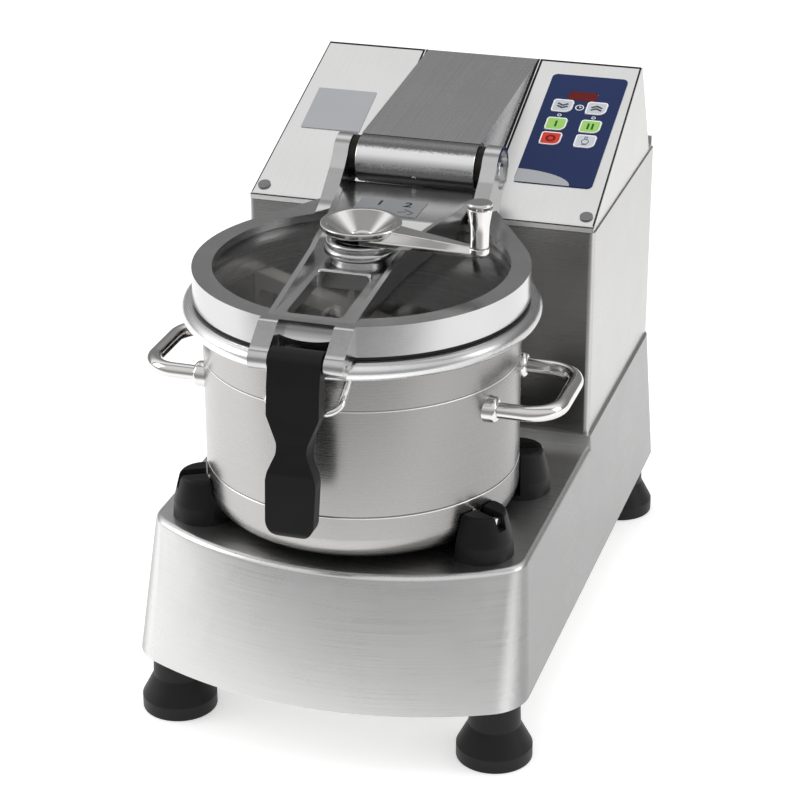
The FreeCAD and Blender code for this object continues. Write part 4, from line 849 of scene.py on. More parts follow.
@dataclass(frozen=True)
class TurnedBarrel:
    """A turned barrel with a painted highlight band along its front, and painted shade above and below, where it
    is also rougher.

    Attributes:
        name: the material's name.
        axis: y and z of the barrel's axis.
        radius: the barrel's radius.
        tone: the painted highlight band's colour.
        dull: the colour of the painted shade above and below the band.
        speckled: the colour of the speckles in both.
        roughness: the bright band's roughness.
        lower: the band's lower edge begins and is full at these shares of the radius above the axis.
        upper: its upper edge, likewise.
        speckle: how fast the speckles change along each axis, per metre.
        streak: how fast the streaks do.
        depth: how deep they are, in metres.
    """

    name: str
    axis: Tuple[float, float]
    radius: float
    tone: Colour = (0.92, 0.92, 0.92)
    dull: Colour = (0.24, 0.24, 0.24)
    speckled: Colour = (0.75, 0.75, 0.75)
    roughness: float = 0.2
    lower: Tuple[float, float] = (-0.15, 0.2)
    upper: Tuple[float, float] = (0.66, 0.78)
    speckle: Tuple[float, float, float] = (500, 1100, 1100)
    streak: Tuple[float, float, float] = (900, 40, 40)
    depth: float = 0.02 * MM

    def material(self) -> bpy.types.Material:
        """Build the finish.

        Returns:
            The material.
        """
        book = NodeBook(self.name)
        height = book.parts(book.place((1, 1, 1), (0, 0, -self.axis[1])))[2] / self.radius
        speckle = book.noise(book.place(self.speckle), 1.0, 3.0)
        streak = book.noise(book.place(self.streak), 1.0, 2.0)
        edge = height + speckle.swing(0.25)
        # painted highlight band along the front, painted shade above and below it
        bright = edge.span(*self.lower) - edge.span(*self.upper)
        colour = book.blend(bright, lighter(self.dull, 0.8), lighter(self.tone, 0.96))
        colour = book.blend((speckle - 0.4) * 0.5, colour, self.speckled)
        rough = self.roughness + (1.0 - bright) * 0.12 + streak.swing(0.1)
        return book.surface(Base_Color=colour, Metallic=1.0, Roughness=rough,
                            Normal=book.bump(speckle.mixed(streak, 0.5), self.depth))


@dataclass(frozen=True)
class Polished:
    """Metal polished bright, with faint wiping marks."""

    name: str
    tone: Colour = (0.74, 0.73, 0.72)
    roughness: float = 0.09
    cloud: float = 30.0
    fine: float = 700.0
    depth: float = 0.006 * MM

    def material(self) -> bpy.types.Material:
        """Build the finish.

        Returns:
            The material.
        """
        book = NodeBook(self.name)
        cloud, fine = book.noise(book.place(), self.cloud, 4.0), book.noise(book.place(), self.fine, 2.0)
        colour = book.blend(cloud, lighter(self.tone, 0.94), lighter(self.tone, 1.04))
        return book.surface(Base_Color=colour, Metallic=1.0, Roughness=self.roughness + cloud.swing(0.10),
                            Normal=book.bump(fine, self.depth))


@dataclass(frozen=True)
class CastMetal:
    """Cast metal ground and polished by hand, a little uneven.

    Attributes:
        name: the material's name.
        tone: its mean colour.
        roughness: its mean roughness.
        unevenness: how deep its waves are, in metres.
        waves: how fast they change, per metre.
        strokes: how fast the grinding strokes do along each axis.
        pits: how fast the pits do.
        stroke_depth: how deep the strokes are.
        pit_depth: how deep the pits are.
    """

    name: str
    tone: Colour = (0.60, 0.60, 0.60)
    roughness: float = 0.2
    unevenness: float = 0.25 * MM
    waves: float = 22.0
    strokes: Tuple[float, float, float] = (260, 260, 1300)
    pits: float = 1500.0
    stroke_depth: float = 0.02 * MM
    pit_depth: float = 0.008 * MM

    def material(self) -> bpy.types.Material:
        """Build the finish.

        Returns:
            The material.
        """
        book = NodeBook(self.name)
        waves = book.noise(book.place(), self.waves, 2.0)
        strokes = book.noise(book.place(self.strokes), 1.0, 3.0)
        pits = book.noise(book.place(), self.pits, 2.0)
        colour = book.blend(waves.mixed(strokes, 0.5), lighter(self.tone, 0.88), lighter(self.tone, 1.08))
        rough = self.roughness + strokes.swing(0.14) + waves.swing(0.10)
        height = (waves * (self.unevenness / MM) + strokes * (self.stroke_depth / MM)
                  + pits * (self.pit_depth / MM))
        return book.surface(Base_Color=colour, Metallic=1.0, Roughness=rough, Normal=book.bump(height, MM))


@dataclass(frozen=True)
class Moulded:
    """Moulded plastic or rubber with a fine grain and slightly worn, paler patches.

    Attributes:
        name: the material's name.
        tone: its mean colour.
        roughness: its mean roughness.
        grain: how fast its grain changes, per metre.
        depth: how deep the grain is, in metres.
        wear: how much lighter its worn places are.
        shine: how strongly it mirrors.
        cloud: how fast the worn places change, per metre.
    """

    name: str
    tone: Colour
    roughness: float = 0.5
    grain: float = 1100.0
    depth: float = 0.03 * MM
    wear: float = 1.5
    shine: float = 0.3
    cloud: float = 40.0

    def material(self) -> bpy.types.Material:
        """Build the finish.

        Returns:
            The material.
        """
        book = NodeBook(self.name)
        fine, cloud = book.noise(book.place(), self.grain, 2.0), book.noise(book.place(), self.cloud, 4.0)
        colour = book.blend(cloud, lighter(self.tone, 0.85), lighter(self.tone, self.wear))
        rough = self.roughness + cloud.swing(0.18) + fine.swing(0.1)
        return book.surface(Base_Color=colour, Roughness=rough, Specular_IOR_Level=self.shine,
                            Normal=book.bump(fine, self.depth))


@dataclass(frozen=True)
class Printed:
    """Ink or printed foil: an even colour with a faint tooth."""

    name: str
    tone: Colour
    roughness: float = 0.38
    shine: float = 0.12
    tooth: float = 1800.0
    cloud: float = 60.0
    depth: float = 0.012 * MM

    def material(self) -> bpy.types.Material:
        """Build the finish.

        Returns:
            The material.
        """
        book = NodeBook(self.name)
        tooth, cloud = book.noise(book.place(), self.tooth, 2.0), book.noise(book.place(), self.cloud, 2.0)
        colour = book.blend(tooth.mixed(cloud, 0.6), lighter(self.tone, 0.93), lighter(self.tone, 1.07))
        return book.surface(Base_Color=colour, Roughness=self.roughness + tooth.swing(0.1),
                            Specular_IOR_Level=self.shine, Normal=book.bump(tooth, self.depth))


@dataclass(frozen=True)
class Pane:
    """Clear plastic pane, faintly smoked, with fine wiping marks."""

    name: str
    tone: Colour = (0.78, 0.77, 0.75)
    roughness: float = 0.03
    bending: float = 1.35
    wipes: Tuple[float, float, float] = (90, 30, 30)
    depth: float = 0.01 * MM

    def material(self) -> bpy.types.Material:
        """Build the finish.

        Returns:
            The material.
        """
        book = NodeBook(self.name)
        wipes = book.noise(book.place(self.wipes), 1.0, 4.0)
        return book.surface(Base_Color=(*self.tone, 1.0), Transmission_Weight=1.0, IOR=self.bending,
                            Roughness=self.roughness + wipes * 0.05, Normal=book.bump(wipes, self.depth))


class Finishes:
    """Every finish of the machine, by the record's slot or by its own name.

    Attributes:
        bead_height: the bowl's bead reaches this far down from its top.
        belt_drop: the bowl's upper line lies this far below its top.
        foot_drop: its lower line lies this far below the upper one.
    """

    bead_height: float = 22.0 * MM
    belt_drop: float = 52.5 * MM
    foot_drop: float = 106.0 * MM

    def __init__(self) -> None:
        """Build every finish."""
        bowl, brim = middle("bowl"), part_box("bowl")[1].z
        lines = (brim - self.belt_drop, brim - self.belt_drop - self.foot_drop)
        barrel = middle("hinge_barrel")
        barrel_radius = barrel.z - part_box("hinge_barrel")[0].z
        kinds = {
            "brushed_casing": BrushedSheet("brushed sheet"),
            # panel sheet: the brushed sheet in a lighter tone, painted light for the panel's bright slope
            "panel_sheet": BrushedSheet("panel sheet", flat_grain=Grain.BACKWARDS, roughness=0.33,
                                        tone=(0.76, 0.76, 0.755)),
            "hinge_sheet": BrushedSheet("hinge sheet", flat_grain=Grain.BACKWARDS, roughness=0.26,
                                        tone=(0.60, 0.60, 0.60), contrast=0.07),
            "polished_steel": Polished("polished steel"),
            "bowl_steel": SpunSteel("spun bowl steel", (bowl.x, bowl.y), lines,
                                    bead_from=brim - self.bead_height),
            "lid_casting": CastMetal("lid casting"),
            "barrel_steel": TurnedBarrel("turned barrel", (barrel.y, barrel.z), barrel_radius),
            # painted shade on the base's sides, and on the column's sides and front
            "base_sheet": BrushedSheet("base sheet", side_shade_share=0.40, tone=(0.72, 0.72, 0.715)),
            "column_sheet": BrushedSheet("column sheet", side_shade_share=0.8, front_shade_share=0.40),
            # near-black painted shade for the panel's gaps, grooves and sides
            "shadow_gap": Moulded("shadow gap", (0.012, 0.012, 0.012), 0.7, shine=0.1),
            "smoked_pane": Pane("smoked pane"),
            "seal_rubber": Moulded("seal rubber", (0.02, 0.02, 0.02), 0.6),
            "foot_rubber": Moulded("foot rubber", (0.006, 0.006, 0.0065), 0.46, wear=1.8, shine=0.25),
            "post_plastic": Moulded("post plastic", (0.006, 0.006, 0.0065), 0.42, wear=1.6, shine=0.2),
            "latch_plastic": Moulded("latch plastic", (0.006, 0.006, 0.0065), 0.44, wear=1.4, shine=0.22),
            "bush_bronze": CastMetal("bush bronze", (0.03, 0.028, 0.025), 0.4, 0.1 * MM),
            "plain_plate": BrushedSheet("plain plate", roughness=0.42, tone=(0.50, 0.51, 0.53),
                                        contrast=0.05),
            "keypad_blue": Printed("keypad blue", (0.013, 0.026, 0.095)),
            "display_red": Printed("display red", (0.115, 0.004, 0.004), 0.3),
            "key_grey": Printed("key grey", (0.52, 0.55, 0.60), 0.45),
            "key_green": Printed("key green", (0.33, 0.60, 0.15), 0.5),
            "key_red": Printed("key red", (0.62, 0.05, 0.03), 0.45),
            "key_white": Printed("key pale", (0.55, 0.58, 0.63), 0.45),
            "ink_white": Printed("white ink", (0.85, 0.86, 0.88), 0.45),
            "ink_dark": Printed("dark ink", (0.02, 0.022, 0.03), 0.45),
            "ink_green": Printed("dark green ink", (0.02, 0.11, 0.02), 0.45),
            "ink_red": Printed("dark red ink", (0.16, 0.01, 0.008), 0.45),
            "ink_grey": Printed("grey ink", (0.06, 0.065, 0.075), 0.45),
            "plug_grey": Moulded("plug grey", (0.16, 0.16, 0.165), 0.42, wear=1.2),
            "gland_plastic": Moulded("gland nylon", (0.02, 0.02, 0.02), 0.45),
            "board_plastic": Moulded("board green", (0.02, 0.10, 0.05), 0.5),
            "scraper_plastic": Moulded("scraper plastic", (0.62, 0.61, 0.57), 0.42, wear=1.08),
            "blade_steel": BrushedSheet("blade steel", roughness=0.2, tone=(0.66, 0.66, 0.66)),
            "hub_plastic": Moulded("hub plastic", (0.16, 0.16, 0.165), 0.4, wear=1.2),
            "machine_steel": CastMetal("machine steel", (0.42, 0.42, 0.42), 0.32, 0.1 * MM),
            "cast_alloy": CastMetal("cast alloy", (0.45, 0.45, 0.46), 0.42, 0.3 * MM),
            "belt_rubber": Moulded("belt rubber", (0.015, 0.015, 0.015), 0.7),
        }
        self.made: Dict[str, bpy.types.Material] = {slot: kind.material() for slot, kind in kinds.items()}

    def dress(self, piece: Piece, name: str) -> Piece:
        """Give a piece one finish all over.

        Args:
            piece: the piece, or a node's object.
            name: the finish.

        Returns:
            The same piece.
        """
        piece.data.materials.clear()
        piece.data.materials.append(self.made[name])
        if piece.name not in frame["nodes"]:
            mark_facing(piece)
        return piece

    def dress_nodes(self) -> None:
        """Give every node the finish of its slot in the record."""
        for name, node in frame["nodes"].items():
            self.dress(node, slot_of(name))


# The studio

@dataclass(frozen=True)
class Lamp:
    """A soft rectangular light.

    Attributes:
        name: the light's name.
        place: where it hangs.
        aim: the point it faces.
        size: its width and height.
        watts: its power.
        mirrored: whether shiny surfaces show it.
    """

    name: str
    place: Tuple[float, float, float]
    aim: Tuple[float, float, float]
    size: Tuple[float, float]
    watts: float
    mirrored: bool = True

    def hang(self) -> None:
        """Put the light in the scene."""
        data = bpy.data.lights.new(self.name, "AREA")
        data.shape = "RECTANGLE"
        data.size, data.size_y = self.size
        data.energy = self.watts
        lamp = bpy.data.objects.new(self.name, data)
        bpy.context.scene.collection.objects.link(lamp)
        lamp.visible_glossy = self.mirrored
        way = Vector(self.aim) - Vector(self.place)
        lamp.matrix_world = Matrix.Translation(self.place) @ way.to_track_quat("-Z", "Y").to_matrix().to_4x4()


@dataclass
class Studio:
    """A pale floor, soft lights and the camera at the photograph's place.

    Attributes:
        eye: the camera's place.
        azimuth: how far it stands round to the right, in degrees.
        pitch: how far it looks up; below zero is down.
        roll: how far it leans.
        focal: its focal length, in millimetres.
        sensor: its sensor's width, in millimetres.
        shift: how far its picture is shifted.
        floor_radius: the floor's radius.
        floor_tone: the floor's colour behind and under the machine.
        floor_front: its colour in front of it, out of the picture.
        floor_fade: y of where the front colour ends and where the other is full.
        floor_glow: how brightly the floor in the picture glows.
        sky: the surround's greys, by the turn from the front horizon (0) over the top to the back one (1).
        lamps: the lights.
    """

    eye: Tuple[float, float, float] = (0.66667, -2.17536, 1.27473)
    azimuth: float = 17.26
    pitch: float = -24.14
    roll: float = -0.2
    focal: float = 111.0
    sensor: float = 36.0
    shift: Tuple[float, float] = (0.0035, -0.0112)
    floor_radius: float = 14.0
    floor_tone: Colour = (0.92, 0.92, 0.92)
    floor_front: Colour = (0.42, 0.42, 0.42)
    floor_fade: Tuple[float, float] = (-1.25, -0.5)
    floor_glow: Colour = (0.42, 0.42, 0.42)
    sky: Tuple[Tuple[float, float], ...] = (
        (0.0, 0.30), (0.08, 0.50), (0.20, 0.80), (0.43, 0.85), (0.48, 0.40), (0.53, 0.40),
        (0.60, 1.05), (0.67, 1.10), (0.76, 0.50), (0.81, 0.36), (0.87, 0.24), (1.0, 0.26))
    lamps: Tuple[Lamp, ...] = (
        Lamp("overhead", (0.0, -0.2, 2.6), (0.0, -0.1, 0.4), (2.2, 2.0), 14, mirrored=False),
        Lamp("left", (-2.4, -0.8, 1.5), (0.0, -0.1, 0.3), (1.2, 1.8), 16),
        Lamp("right", (2.6, 0.2, 1.4), (0.0, 0.0, 0.3), (1.0, 1.8), 10))

    def camera(self) -> None:
        """Put the camera where the photograph was taken from."""
        data = bpy.data.cameras.new("camera")
        data.lens = self.focal
        data.sensor_width = self.sensor
        data.shift_x, data.shift_y = self.shift
        camera = bpy.data.objects.new("camera", data)
        bpy.context.scene.collection.objects.link(camera)
        turn = Matrix.Rotation(math.radians(self.azimuth), 4, "Z")
        tilt = Matrix.Rotation(math.radians(90 + self.pitch), 4, "X")
        lean = Matrix.Rotation(math.radians(self.roll), 4, "Z")
        camera.matrix_world = Matrix.Translation(self.eye) @ turn @ tilt @ lean
        bpy.context.scene.camera = camera

    def floor(self) -> None:
        """A wide pale sheet under and behind the machine that darkens in front of it."""
        deselect()
        bpy.ops.mesh.primitive_circle_add(vertices=96, radius=self.floor_radius, fill_type="NGON")
        floor = bpy.context.object
        floor.name = "floor"
        book = NodeBook("pale floor")
        tooth = book.noise(book.place(), 3.0, 3.0)
        behind = book.parts(book.place())[1].span(*self.floor_fade)
        colour = book.blend(behind, self.floor_front, self.floor_tone)
        glow = book.blend(behind, (0.0, 0.0, 0.0), self.floor_glow)
        floor.data.materials.append(book.surface(Base_Color=colour, Roughness=0.85 + tooth * 0.1,
                                                 Emission_Color=glow, Emission_Strength=1.0))

    def world(self) -> None:
        """A surround of two soft boxes overhead, with darker gaps between."""
        world = bpy.data.worlds.new("studio")
        bpy.context.scene.world = world
        book = NodeBook("studio", world)
        _, y, z = book.parts(book.node("ShaderNodeTexCoord").outputs["Generated"])
        turn = z.maths("ARCTAN2", z, y * -1.0) / math.pi
        ramp = book.node("ShaderNodeValToRGB", {"stops": self.sky}, {0: turn})
        background = book.node("ShaderNodeBackground", None, {"Color": ramp.outputs[0], "Strength": 1.0})
        book.node("ShaderNodeOutputWorld", None, {"Surface": background.outputs[0]})

    def build(self) -> None:
        """Build the studio."""
        self.camera()
        self.floor()
        self.world()
        for lamp in self.lamps:
            lamp.hang()
        bpy.context.scene.view_settings.view_transform = "Standard"


# The control panel's own frame

@dataclass
class PanelFrame:
    """Directions and heights on the sloping panel."""

    out: Vector = field(default_factory=lambda: -joint_axis("key_stop_press"))
    across: Vector = field(default_factory=lambda: Vector((1, 0, 0)))

    @property
    def up(self) -> Vector:
        """The direction up the slope."""
        return self.out.cross(self.across)

    def top(self, node: str) -> float:
        """Height of a node's outer face along the panel's normal."""
        return reach(node, self.out)[1]

    def span(self, node: str) -> Tuple[float, float, float, float]:
        """A node's left, right, lower and upper limits on the panel.

        Args:
            node: the node's name.

        Returns:
            Its limits, in that order.
        """
        low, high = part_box(node)
        lower, upper = reach(node, self.up)
        return low.x, high.x, lower, upper

    def centre(self, node: str) -> Tuple[float, float]:
        """A node's middle on the panel."""
        left, right, lower, upper = self.span(node)
        return (left + right) / 2, (lower + upper) / 2

    def place(self, x: float, s: float, height: float) -> Matrix:
        """A matrix that lays a flat piece at x, s up the slope and a height along the normal.

        Args:
            x: place across the panel.
            s: place up the slope.
            height: height along the normal.

        Returns:
            The matrix.
        """
        at = self.across * x + self.up * s + self.out * height
        columns = Matrix((self.across, self.up, self.out)).transposed().to_4x4()
        return Matrix.Translation(at) @ columns

    def strip(self, start: Tuple[float, float], end: Tuple[float, float], width: float, rise: float,
              height: float) -> Piece:
        """A straight strip that lies on the panel.

        Args:
            start: its first end, as x and s up the slope.
            end: its other end.
            width: its width.
            rise: its thickness.
            height: where it lies along the panel's normal.

        Returns:
            The strip.
        """
        run, climb = end[0] - start[0], end[1] - start[1]
        piece = bar(0, 0, math.hypot(run, climb), width, rise, math.degrees(math.atan2(climb, run)))
        return lay(piece, self.place((start[0] + end[0]) / 2, (start[1] + end[1]) / 2, height))


# Sub-assemblies

@dataclass
class Casing:
    """Base, column and head: sheet pieces with rounded folds.

    Attributes:
        finishes: the finishes.
        panel: the panel's directions.
        fold: radius of a sheet fold.
        base_fold: radius of the base's folds.
        panel_fold: radius of the panel's folds.
        thin_fold: radius of the rear cover's and the hook's folds.
        corner_fold: radius of the column's upright front corners.
        corner_height: those corners are longer than this.
        corner_reach: and lie this close to the column's front and side.
        top_gap: width of the dark gap along the panel's top.
        side_gap: width of the gap along its side and low edge.
        groove: width of the groove beside the hinge housing.
        gap_rise: how far a gap's strip stands up; the low edge's stands up four times that.
        gap_start: the side gap begins this far up the panel.
        groove_start: the groove begins this far up.
        fold_share: the bright fold lies this share of the groove's width from the housing.
        fold_width: the bright fold's width.
        face_reach: the panel's face lies this close to the foil's back.
        low_zone: the panel's width at its low end is measured up to here.
        high_zone: and at its high end, from this far below its top.
    """

    finishes: Finishes
    panel: PanelFrame = field(default_factory=PanelFrame)
    fold: float = 0.6 * MM
    base_fold: float = 1.6 * MM
    panel_fold: float = 0.7 * MM
    thin_fold: float = 0.5 * MM
    corner_fold: float = 4.0 * MM
    corner_height: float = 30 * MM
    corner_reach: float = 0.2 * MM
    top_gap: float = 2.6 * MM
    side_gap: float = 1.1 * MM
    groove: float = 5.0 * MM
    gap_rise: float = 0.15 * MM
    gap_start: float = 2 * MM
    groove_start: float = 30 * MM
    fold_share: float = 0.45
    fold_width: float = 0.9 * MM
    face_reach: float = 0.5 * MM
    low_zone: float = 12 * MM
    high_zone: float = 8 * MM

    def column(self) -> Piece:
        """The column's shell with its upright front corners rounded wider than its other folds.

        Returns:
            The shell, which stands for the column.
        """
        node = "column_housing"
        shell = merged_copy(node, "column_shell")
        low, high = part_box(node)

        def at_front_corner(corner: bmesh.types.BMVert) -> bool:
            """Whether a corner lies on the column's front and side."""
            return abs(corner.co.x) > high.x - self.corner_reach and corner.co.y < low.y + self.corner_reach

        def is_front_corner(edge: bmesh.types.BMEdge) -> bool:
            """Whether an edge is one of the upright front corners."""
            way = (edge.verts[0].co - edge.verts[1].co).normalized()
            return (abs(way.z) > STRAIGHT and edge.calc_length() > self.corner_height
                    and all(at_front_corner(corner) for corner in edge.verts))

        with editing(shell, "EDGE"):
            pick(shell, "edges", is_front_corner)
            bpy.ops.mesh.bevel(offset=self.corner_fold, segments=6)
        round_edges(shell, self.fold, 2)
        return stand_for(shell, node)

    def edge_lines(self) -> List[Piece]:
        """Near-black strips of painted shade in the gaps round the panel and in the grooves beside the hinge
        housing, and the grooves' bright folds.

        Returns:
            The gaps and the folds.
        """
        up, out = self.panel.up, self.panel.out
        top = reach("keypad_foil", out)[0]
        face = [corner.co for corner in frame["nodes"]["control_panel"].data.vertices
                if abs(corner.co.dot(out) - top) < self.face_reach]
        lower, upper = (chosen(corner.dot(up) for corner in face) for chosen in (min, max))
        wide = max(corner.x for corner in face if corner.dot(up) > upper - self.high_zone)
        narrow = max(corner.x for corner in face if corner.dot(up) < lower + self.low_zone)
        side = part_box("hinge_housing")[1].x
        inset, band, foot = self.side_gap / 2, upper - self.top_gap / 2, lower + self.groove_start
        groove, bright = side + self.groove / 2, side + self.groove * self.fold_share
        gaps = (((narrow - inset, lower + self.gap_start), (wide - inset, upper), self.side_gap, 1),
                ((0, lower + inset), (narrow, lower + inset), self.side_gap, 4),
                ((side + self.groove, band), (wide, band), self.top_gap, 1),
                ((groove, foot), (groove, upper), self.groove, 1))
        pieces = []
        for way, label in ((-1, "left"), (1, "right")):
            strips = [self.panel.strip((way * x0, s0), (way * x1, s1), width, rise * self.gap_rise, top)
                      for (x0, s0), (x1, s1), width, rise in gaps]
            # painted shade: near-black strips in the gaps and grooves
            gap = self.finishes.dress(join(strips, f"panel_gap_{label}"), "shadow_gap")
            shine = self.panel.strip((way * bright, foot), (way * bright, upper), self.fold_width,
                                     self.gap_rise * 2, top)
            shine.name = f"panel_fold_{label}"
            pieces += [gap, self.finishes.dress(shine, "polished_steel")]
        return [add_to(piece, "brushed_casing", "machine") for piece in pieces]

    def build(self) -> List[Piece]:
        """Round the folds of the sheet pieces and dress them.

        Returns:
            The casing's visible pieces.
        """
        dress = self.finishes.dress
        base = dress(softened("base_casing", "base_shell", self.base_fold, 3), "base_sheet")
        column = dress(self.column(), "column_sheet")
        head = dress(softened("head_cover", "head_shell", self.fold, 3), "brushed_casing")
        panel = dress(softened("control_panel", "panel_shell", self.panel_fold), "panel_sheet")
        panel.data.materials.append(self.finishes.made["shadow_gap"])
        # painted shade: the panel's sideways faces take the near-black gap finish
        for face in panel.data.polygons:
            if face.normal.dot(self.panel.out) < 0.5 and abs(face.normal.x) > 0.9:
                face.material_index = 1
        cover = dress(softened("rear_cover", "rear_cover_shell", self.thin_fold), "brushed_casing")
        # the hook takes the lighter panel sheet, painted light so that it reads bright
        hook = dress(softened("rear_hook", "rear_hook_shell", self.thin_fold), "panel_sheet")
        dress(frame["nodes"]["panel_screws"], "plug_grey")
        return [base, column, head, panel, cover, hook] + self.edge_lines()


@dataclass
class Keypad:
    """Printed foil with framed keys, their signs, two lamps, a clock sign and the display.

    Attributes:
        finishes: the finishes.
        panel: the panel's directions.
        rim: width of the pale frame round a key.
        sink: how far a key's field lies below its frame.
        print_rise: thickness of printed signs.
        chevron: length and width of one arm of a chevron.
        chevron_place: how far arms lie from the key's middle, sideways and up.
        chevron_turn: an arm's slope, in degrees.
        chevron_corner: radius of its corners.
        stroke: width and height of an upright stroke.
        stroke_gap: how far the two strokes lie from the middle.
        ring: outer and inner radius of the stop ring.
        lamp: outer and inner radius of a lamp's ring.
        lamp_drop: how far a lamp lies below the key above it.
        clock_r: radius of the clock sign.
        clock_line: width of its ring.
        clock_hand: width of its hands.
        lens_corner: radius of the display's corners.
        oval: how far the half oval reaches to the right and upward.
        oval_inset: how far it lies inside the foil's corner.
        oval_rise: its thickness.
    """

    finishes: Finishes
    panel: PanelFrame = field(default_factory=PanelFrame)
    rim: float = 1.3 * MM
    sink: float = 0.2 * MM
    print_rise: float = 0.12 * MM
    chevron: Tuple[float, float] = (6.8 * MM, 2.3 * MM)
    chevron_place: Tuple[float, float] = (2.6 * MM, 2.0 * MM)
    chevron_turn: float = 28.0
    chevron_corner: float = 0.4 * MM
    stroke: Tuple[float, float] = (2.2 * MM, 9.5 * MM)
    stroke_gap: float = 2.3 * MM
    ring: Tuple[float, float] = (5.2 * MM, 2.9 * MM)
    lamp: Tuple[float, float] = (2.2 * MM, 1.4 * MM)
    lamp_drop: float = 14.6 * MM
    clock_r: float = 4.6 * MM
    clock_line: float = 1.0 * MM
    clock_hand: float = 0.9 * MM
    lens_corner: float = 4.0 * MM
    oval: Tuple[float, float] = (57.0 * MM, 20.0 * MM)
    oval_inset: float = 0.4 * MM
    oval_rise: float = 0.05 * MM

    def key(self, node: str) -> Piece:
        """A key's cap with a pale raised frame round its coloured field.

        Args:
            node: the key's node.

        Returns:
            The cap, riding on the key.
        """
        cap = merged_copy(node, f"{node}_cap")
        out, top = self.panel.out, self.panel.top(node)
        with editing(cap):
            pick(cap, "faces", lambda face: face.normal.dot(out) > STRAIGHT
                 and abs(face.calc_center_median().dot(out) - top) < ON_FACE)
            bpy.ops.mesh.inset(thickness=self.rim)
            bpy.ops.transform.translate(value=-self.sink * out)
        cap.data.materials.append(self.finishes.made["ink_white"])
        cap.data.materials.append(self.finishes.made[slot_of(node)])
        for face in cap.data.polygons:
            sunk = abs(face.center.dot(out) - top + self.sink) < ON_FACE
            face.material_index = 1 if sunk and face.normal.dot(out) > STRAIGHT else 0
        smooth(cap, 20)
        return stand_for(cap, node)

    def window(self) -> Piece:
        """The display's lens with rounded ends.

        Returns:
            The lens, which stands for the plain one.
        """
        left, right, lower, upper = self.panel.span("display_lens")
        low, high = reach("display_lens", self.panel.out)
        lens = bar(0, 0, right - left, upper - lower, high - low, 0, self.lens_corner)
        lens.name = "display_window"
        lay(lens, self.panel.place((left + right) / 2, (lower + upper) / 2, low))
        return stand_for(self.finishes.dress(lens, "display_red"), "display_lens")

    def sign(self, node: str, parts: Sequence[Piece], ink: str) -> Piece:
        """Lay a sign on a key's sunk field.

        Args:
            node: the key's node.
            parts: the sign's pieces, flat at the origin.
            ink: its finish.

        Returns:
            The sign, riding on the key.
        """
        sign = join(parts, f"{node}_sign")
        lay(sign, self.panel.place(*self.panel.centre(node), self.panel.top(node) - self.sink))
        return add_to(self.finishes.dress(sign, ink), slot_of(node), body_of(node))

    def chevrons(self, way: float) -> List[Piece]:
        """Two stacked chevrons that point up (1) or down (-1).

        Args:
            way: 1 for up, -1 for down.

        Returns:
            The four arms.
        """
        x, y = self.chevron_place
        slope = way * self.chevron_turn
        return [bar(side * x, row * y, *self.chevron, self.print_rise, -side * slope, self.chevron_corner)
                for row in (-1, 1) for side in (-1, 1)]

    def hand(self) -> List[Piece]:
        """A plain pressing hand in outline: a round palm, a raised finger and a cuff.

        Returns:
            The sign's pieces.
        """
        rise, line = self.print_rise, 0.8 * MM
        palm = hoop(0, -0.8 * MM, 4.0 * MM, 4.0 * MM - line, rise)
        finger = [bar(x * MM, 4.6 * MM, line, 4.4 * MM, rise) for x in (-1.1, 1.1)]
        tip = bar(0, 6.8 * MM, 3.0 * MM, line, rise)
        cuff = bar(0, -5.6 * MM, 5.6 * MM, line, rise)
        return [palm, *finger, tip, cuff]

    def foil_marks(self) -> List[Piece]:
        """The two lamps' rings, the clock sign and the pale half oval at the foil's lower left.

        Returns:
            The marks, riding on the machine.
        """
        rise, width, top = self.print_rise, self.clock_hand, self.panel.top("keypad_foil")
        pieces, pattern = [], hoop(0, 0, *self.lamp, rise)
        for node in ("key_down", "key_up"):
            x, s = self.panel.centre(node)
            lamp = copied(pattern, f"{node}_lamp")
            lay(lamp, self.panel.place(x, s - self.lamp_drop, top))
            pieces.append(self.finishes.dress(lamp, "ink_white"))
        bpy.data.objects.remove(pattern)
        (x0, s), (x1, _) = self.panel.centre("key_down"), self.panel.centre("key_up")
        dial = hoop(0, 0, self.clock_r, self.clock_r - self.clock_line, rise)
        hands = [bar(0, 1.1 * MM, width, 2.6 * MM, rise), bar(0.9 * MM, 0.2 * MM, 2.2 * MM, width, rise, 40)]
        clock = lay(join([dial, *hands], "clock_sign"), self.panel.place((x0 + x1) / 2, s, top))
        pieces += [self.finishes.dress(clock, "ink_white"), self.half_oval(top)]
        return [add_to(piece, "keypad_blue", "machine") for piece in pieces]

    def half_oval(self, top: float) -> Piece:
        """The bare pale field at the foil's lower left, bounded by an arc.

        Args:
            top: height of the foil along the panel's normal.

        Returns:
            The pale field.
        """
        left, _, lower, _ = self.panel.span("keypad_foil")
        deselect()
        bpy.ops.mesh.primitive_circle_add(vertices=96, radius=1.0, fill_type="NGON")
        oval = bpy.context.object
        oval.scale = (*self.oval, 1)
        settle(oval)
        with editing(oval):
            for way in ((-1, 0, 0), (0, -1, 0)):
                bpy.ops.mesh.select_all(action="SELECT")
                bpy.ops.mesh.bisect(plane_co=(0, 0, 0), plane_no=way, clear_outer=True, use_fill=False)
            raise_outline(self.oval_rise)
        oval.name = "pale_field"
        lay(oval, self.panel.place(left + self.oval_inset, lower + self.oval_inset, top))
        return self.finishes.dress(oval, "plain_plate")

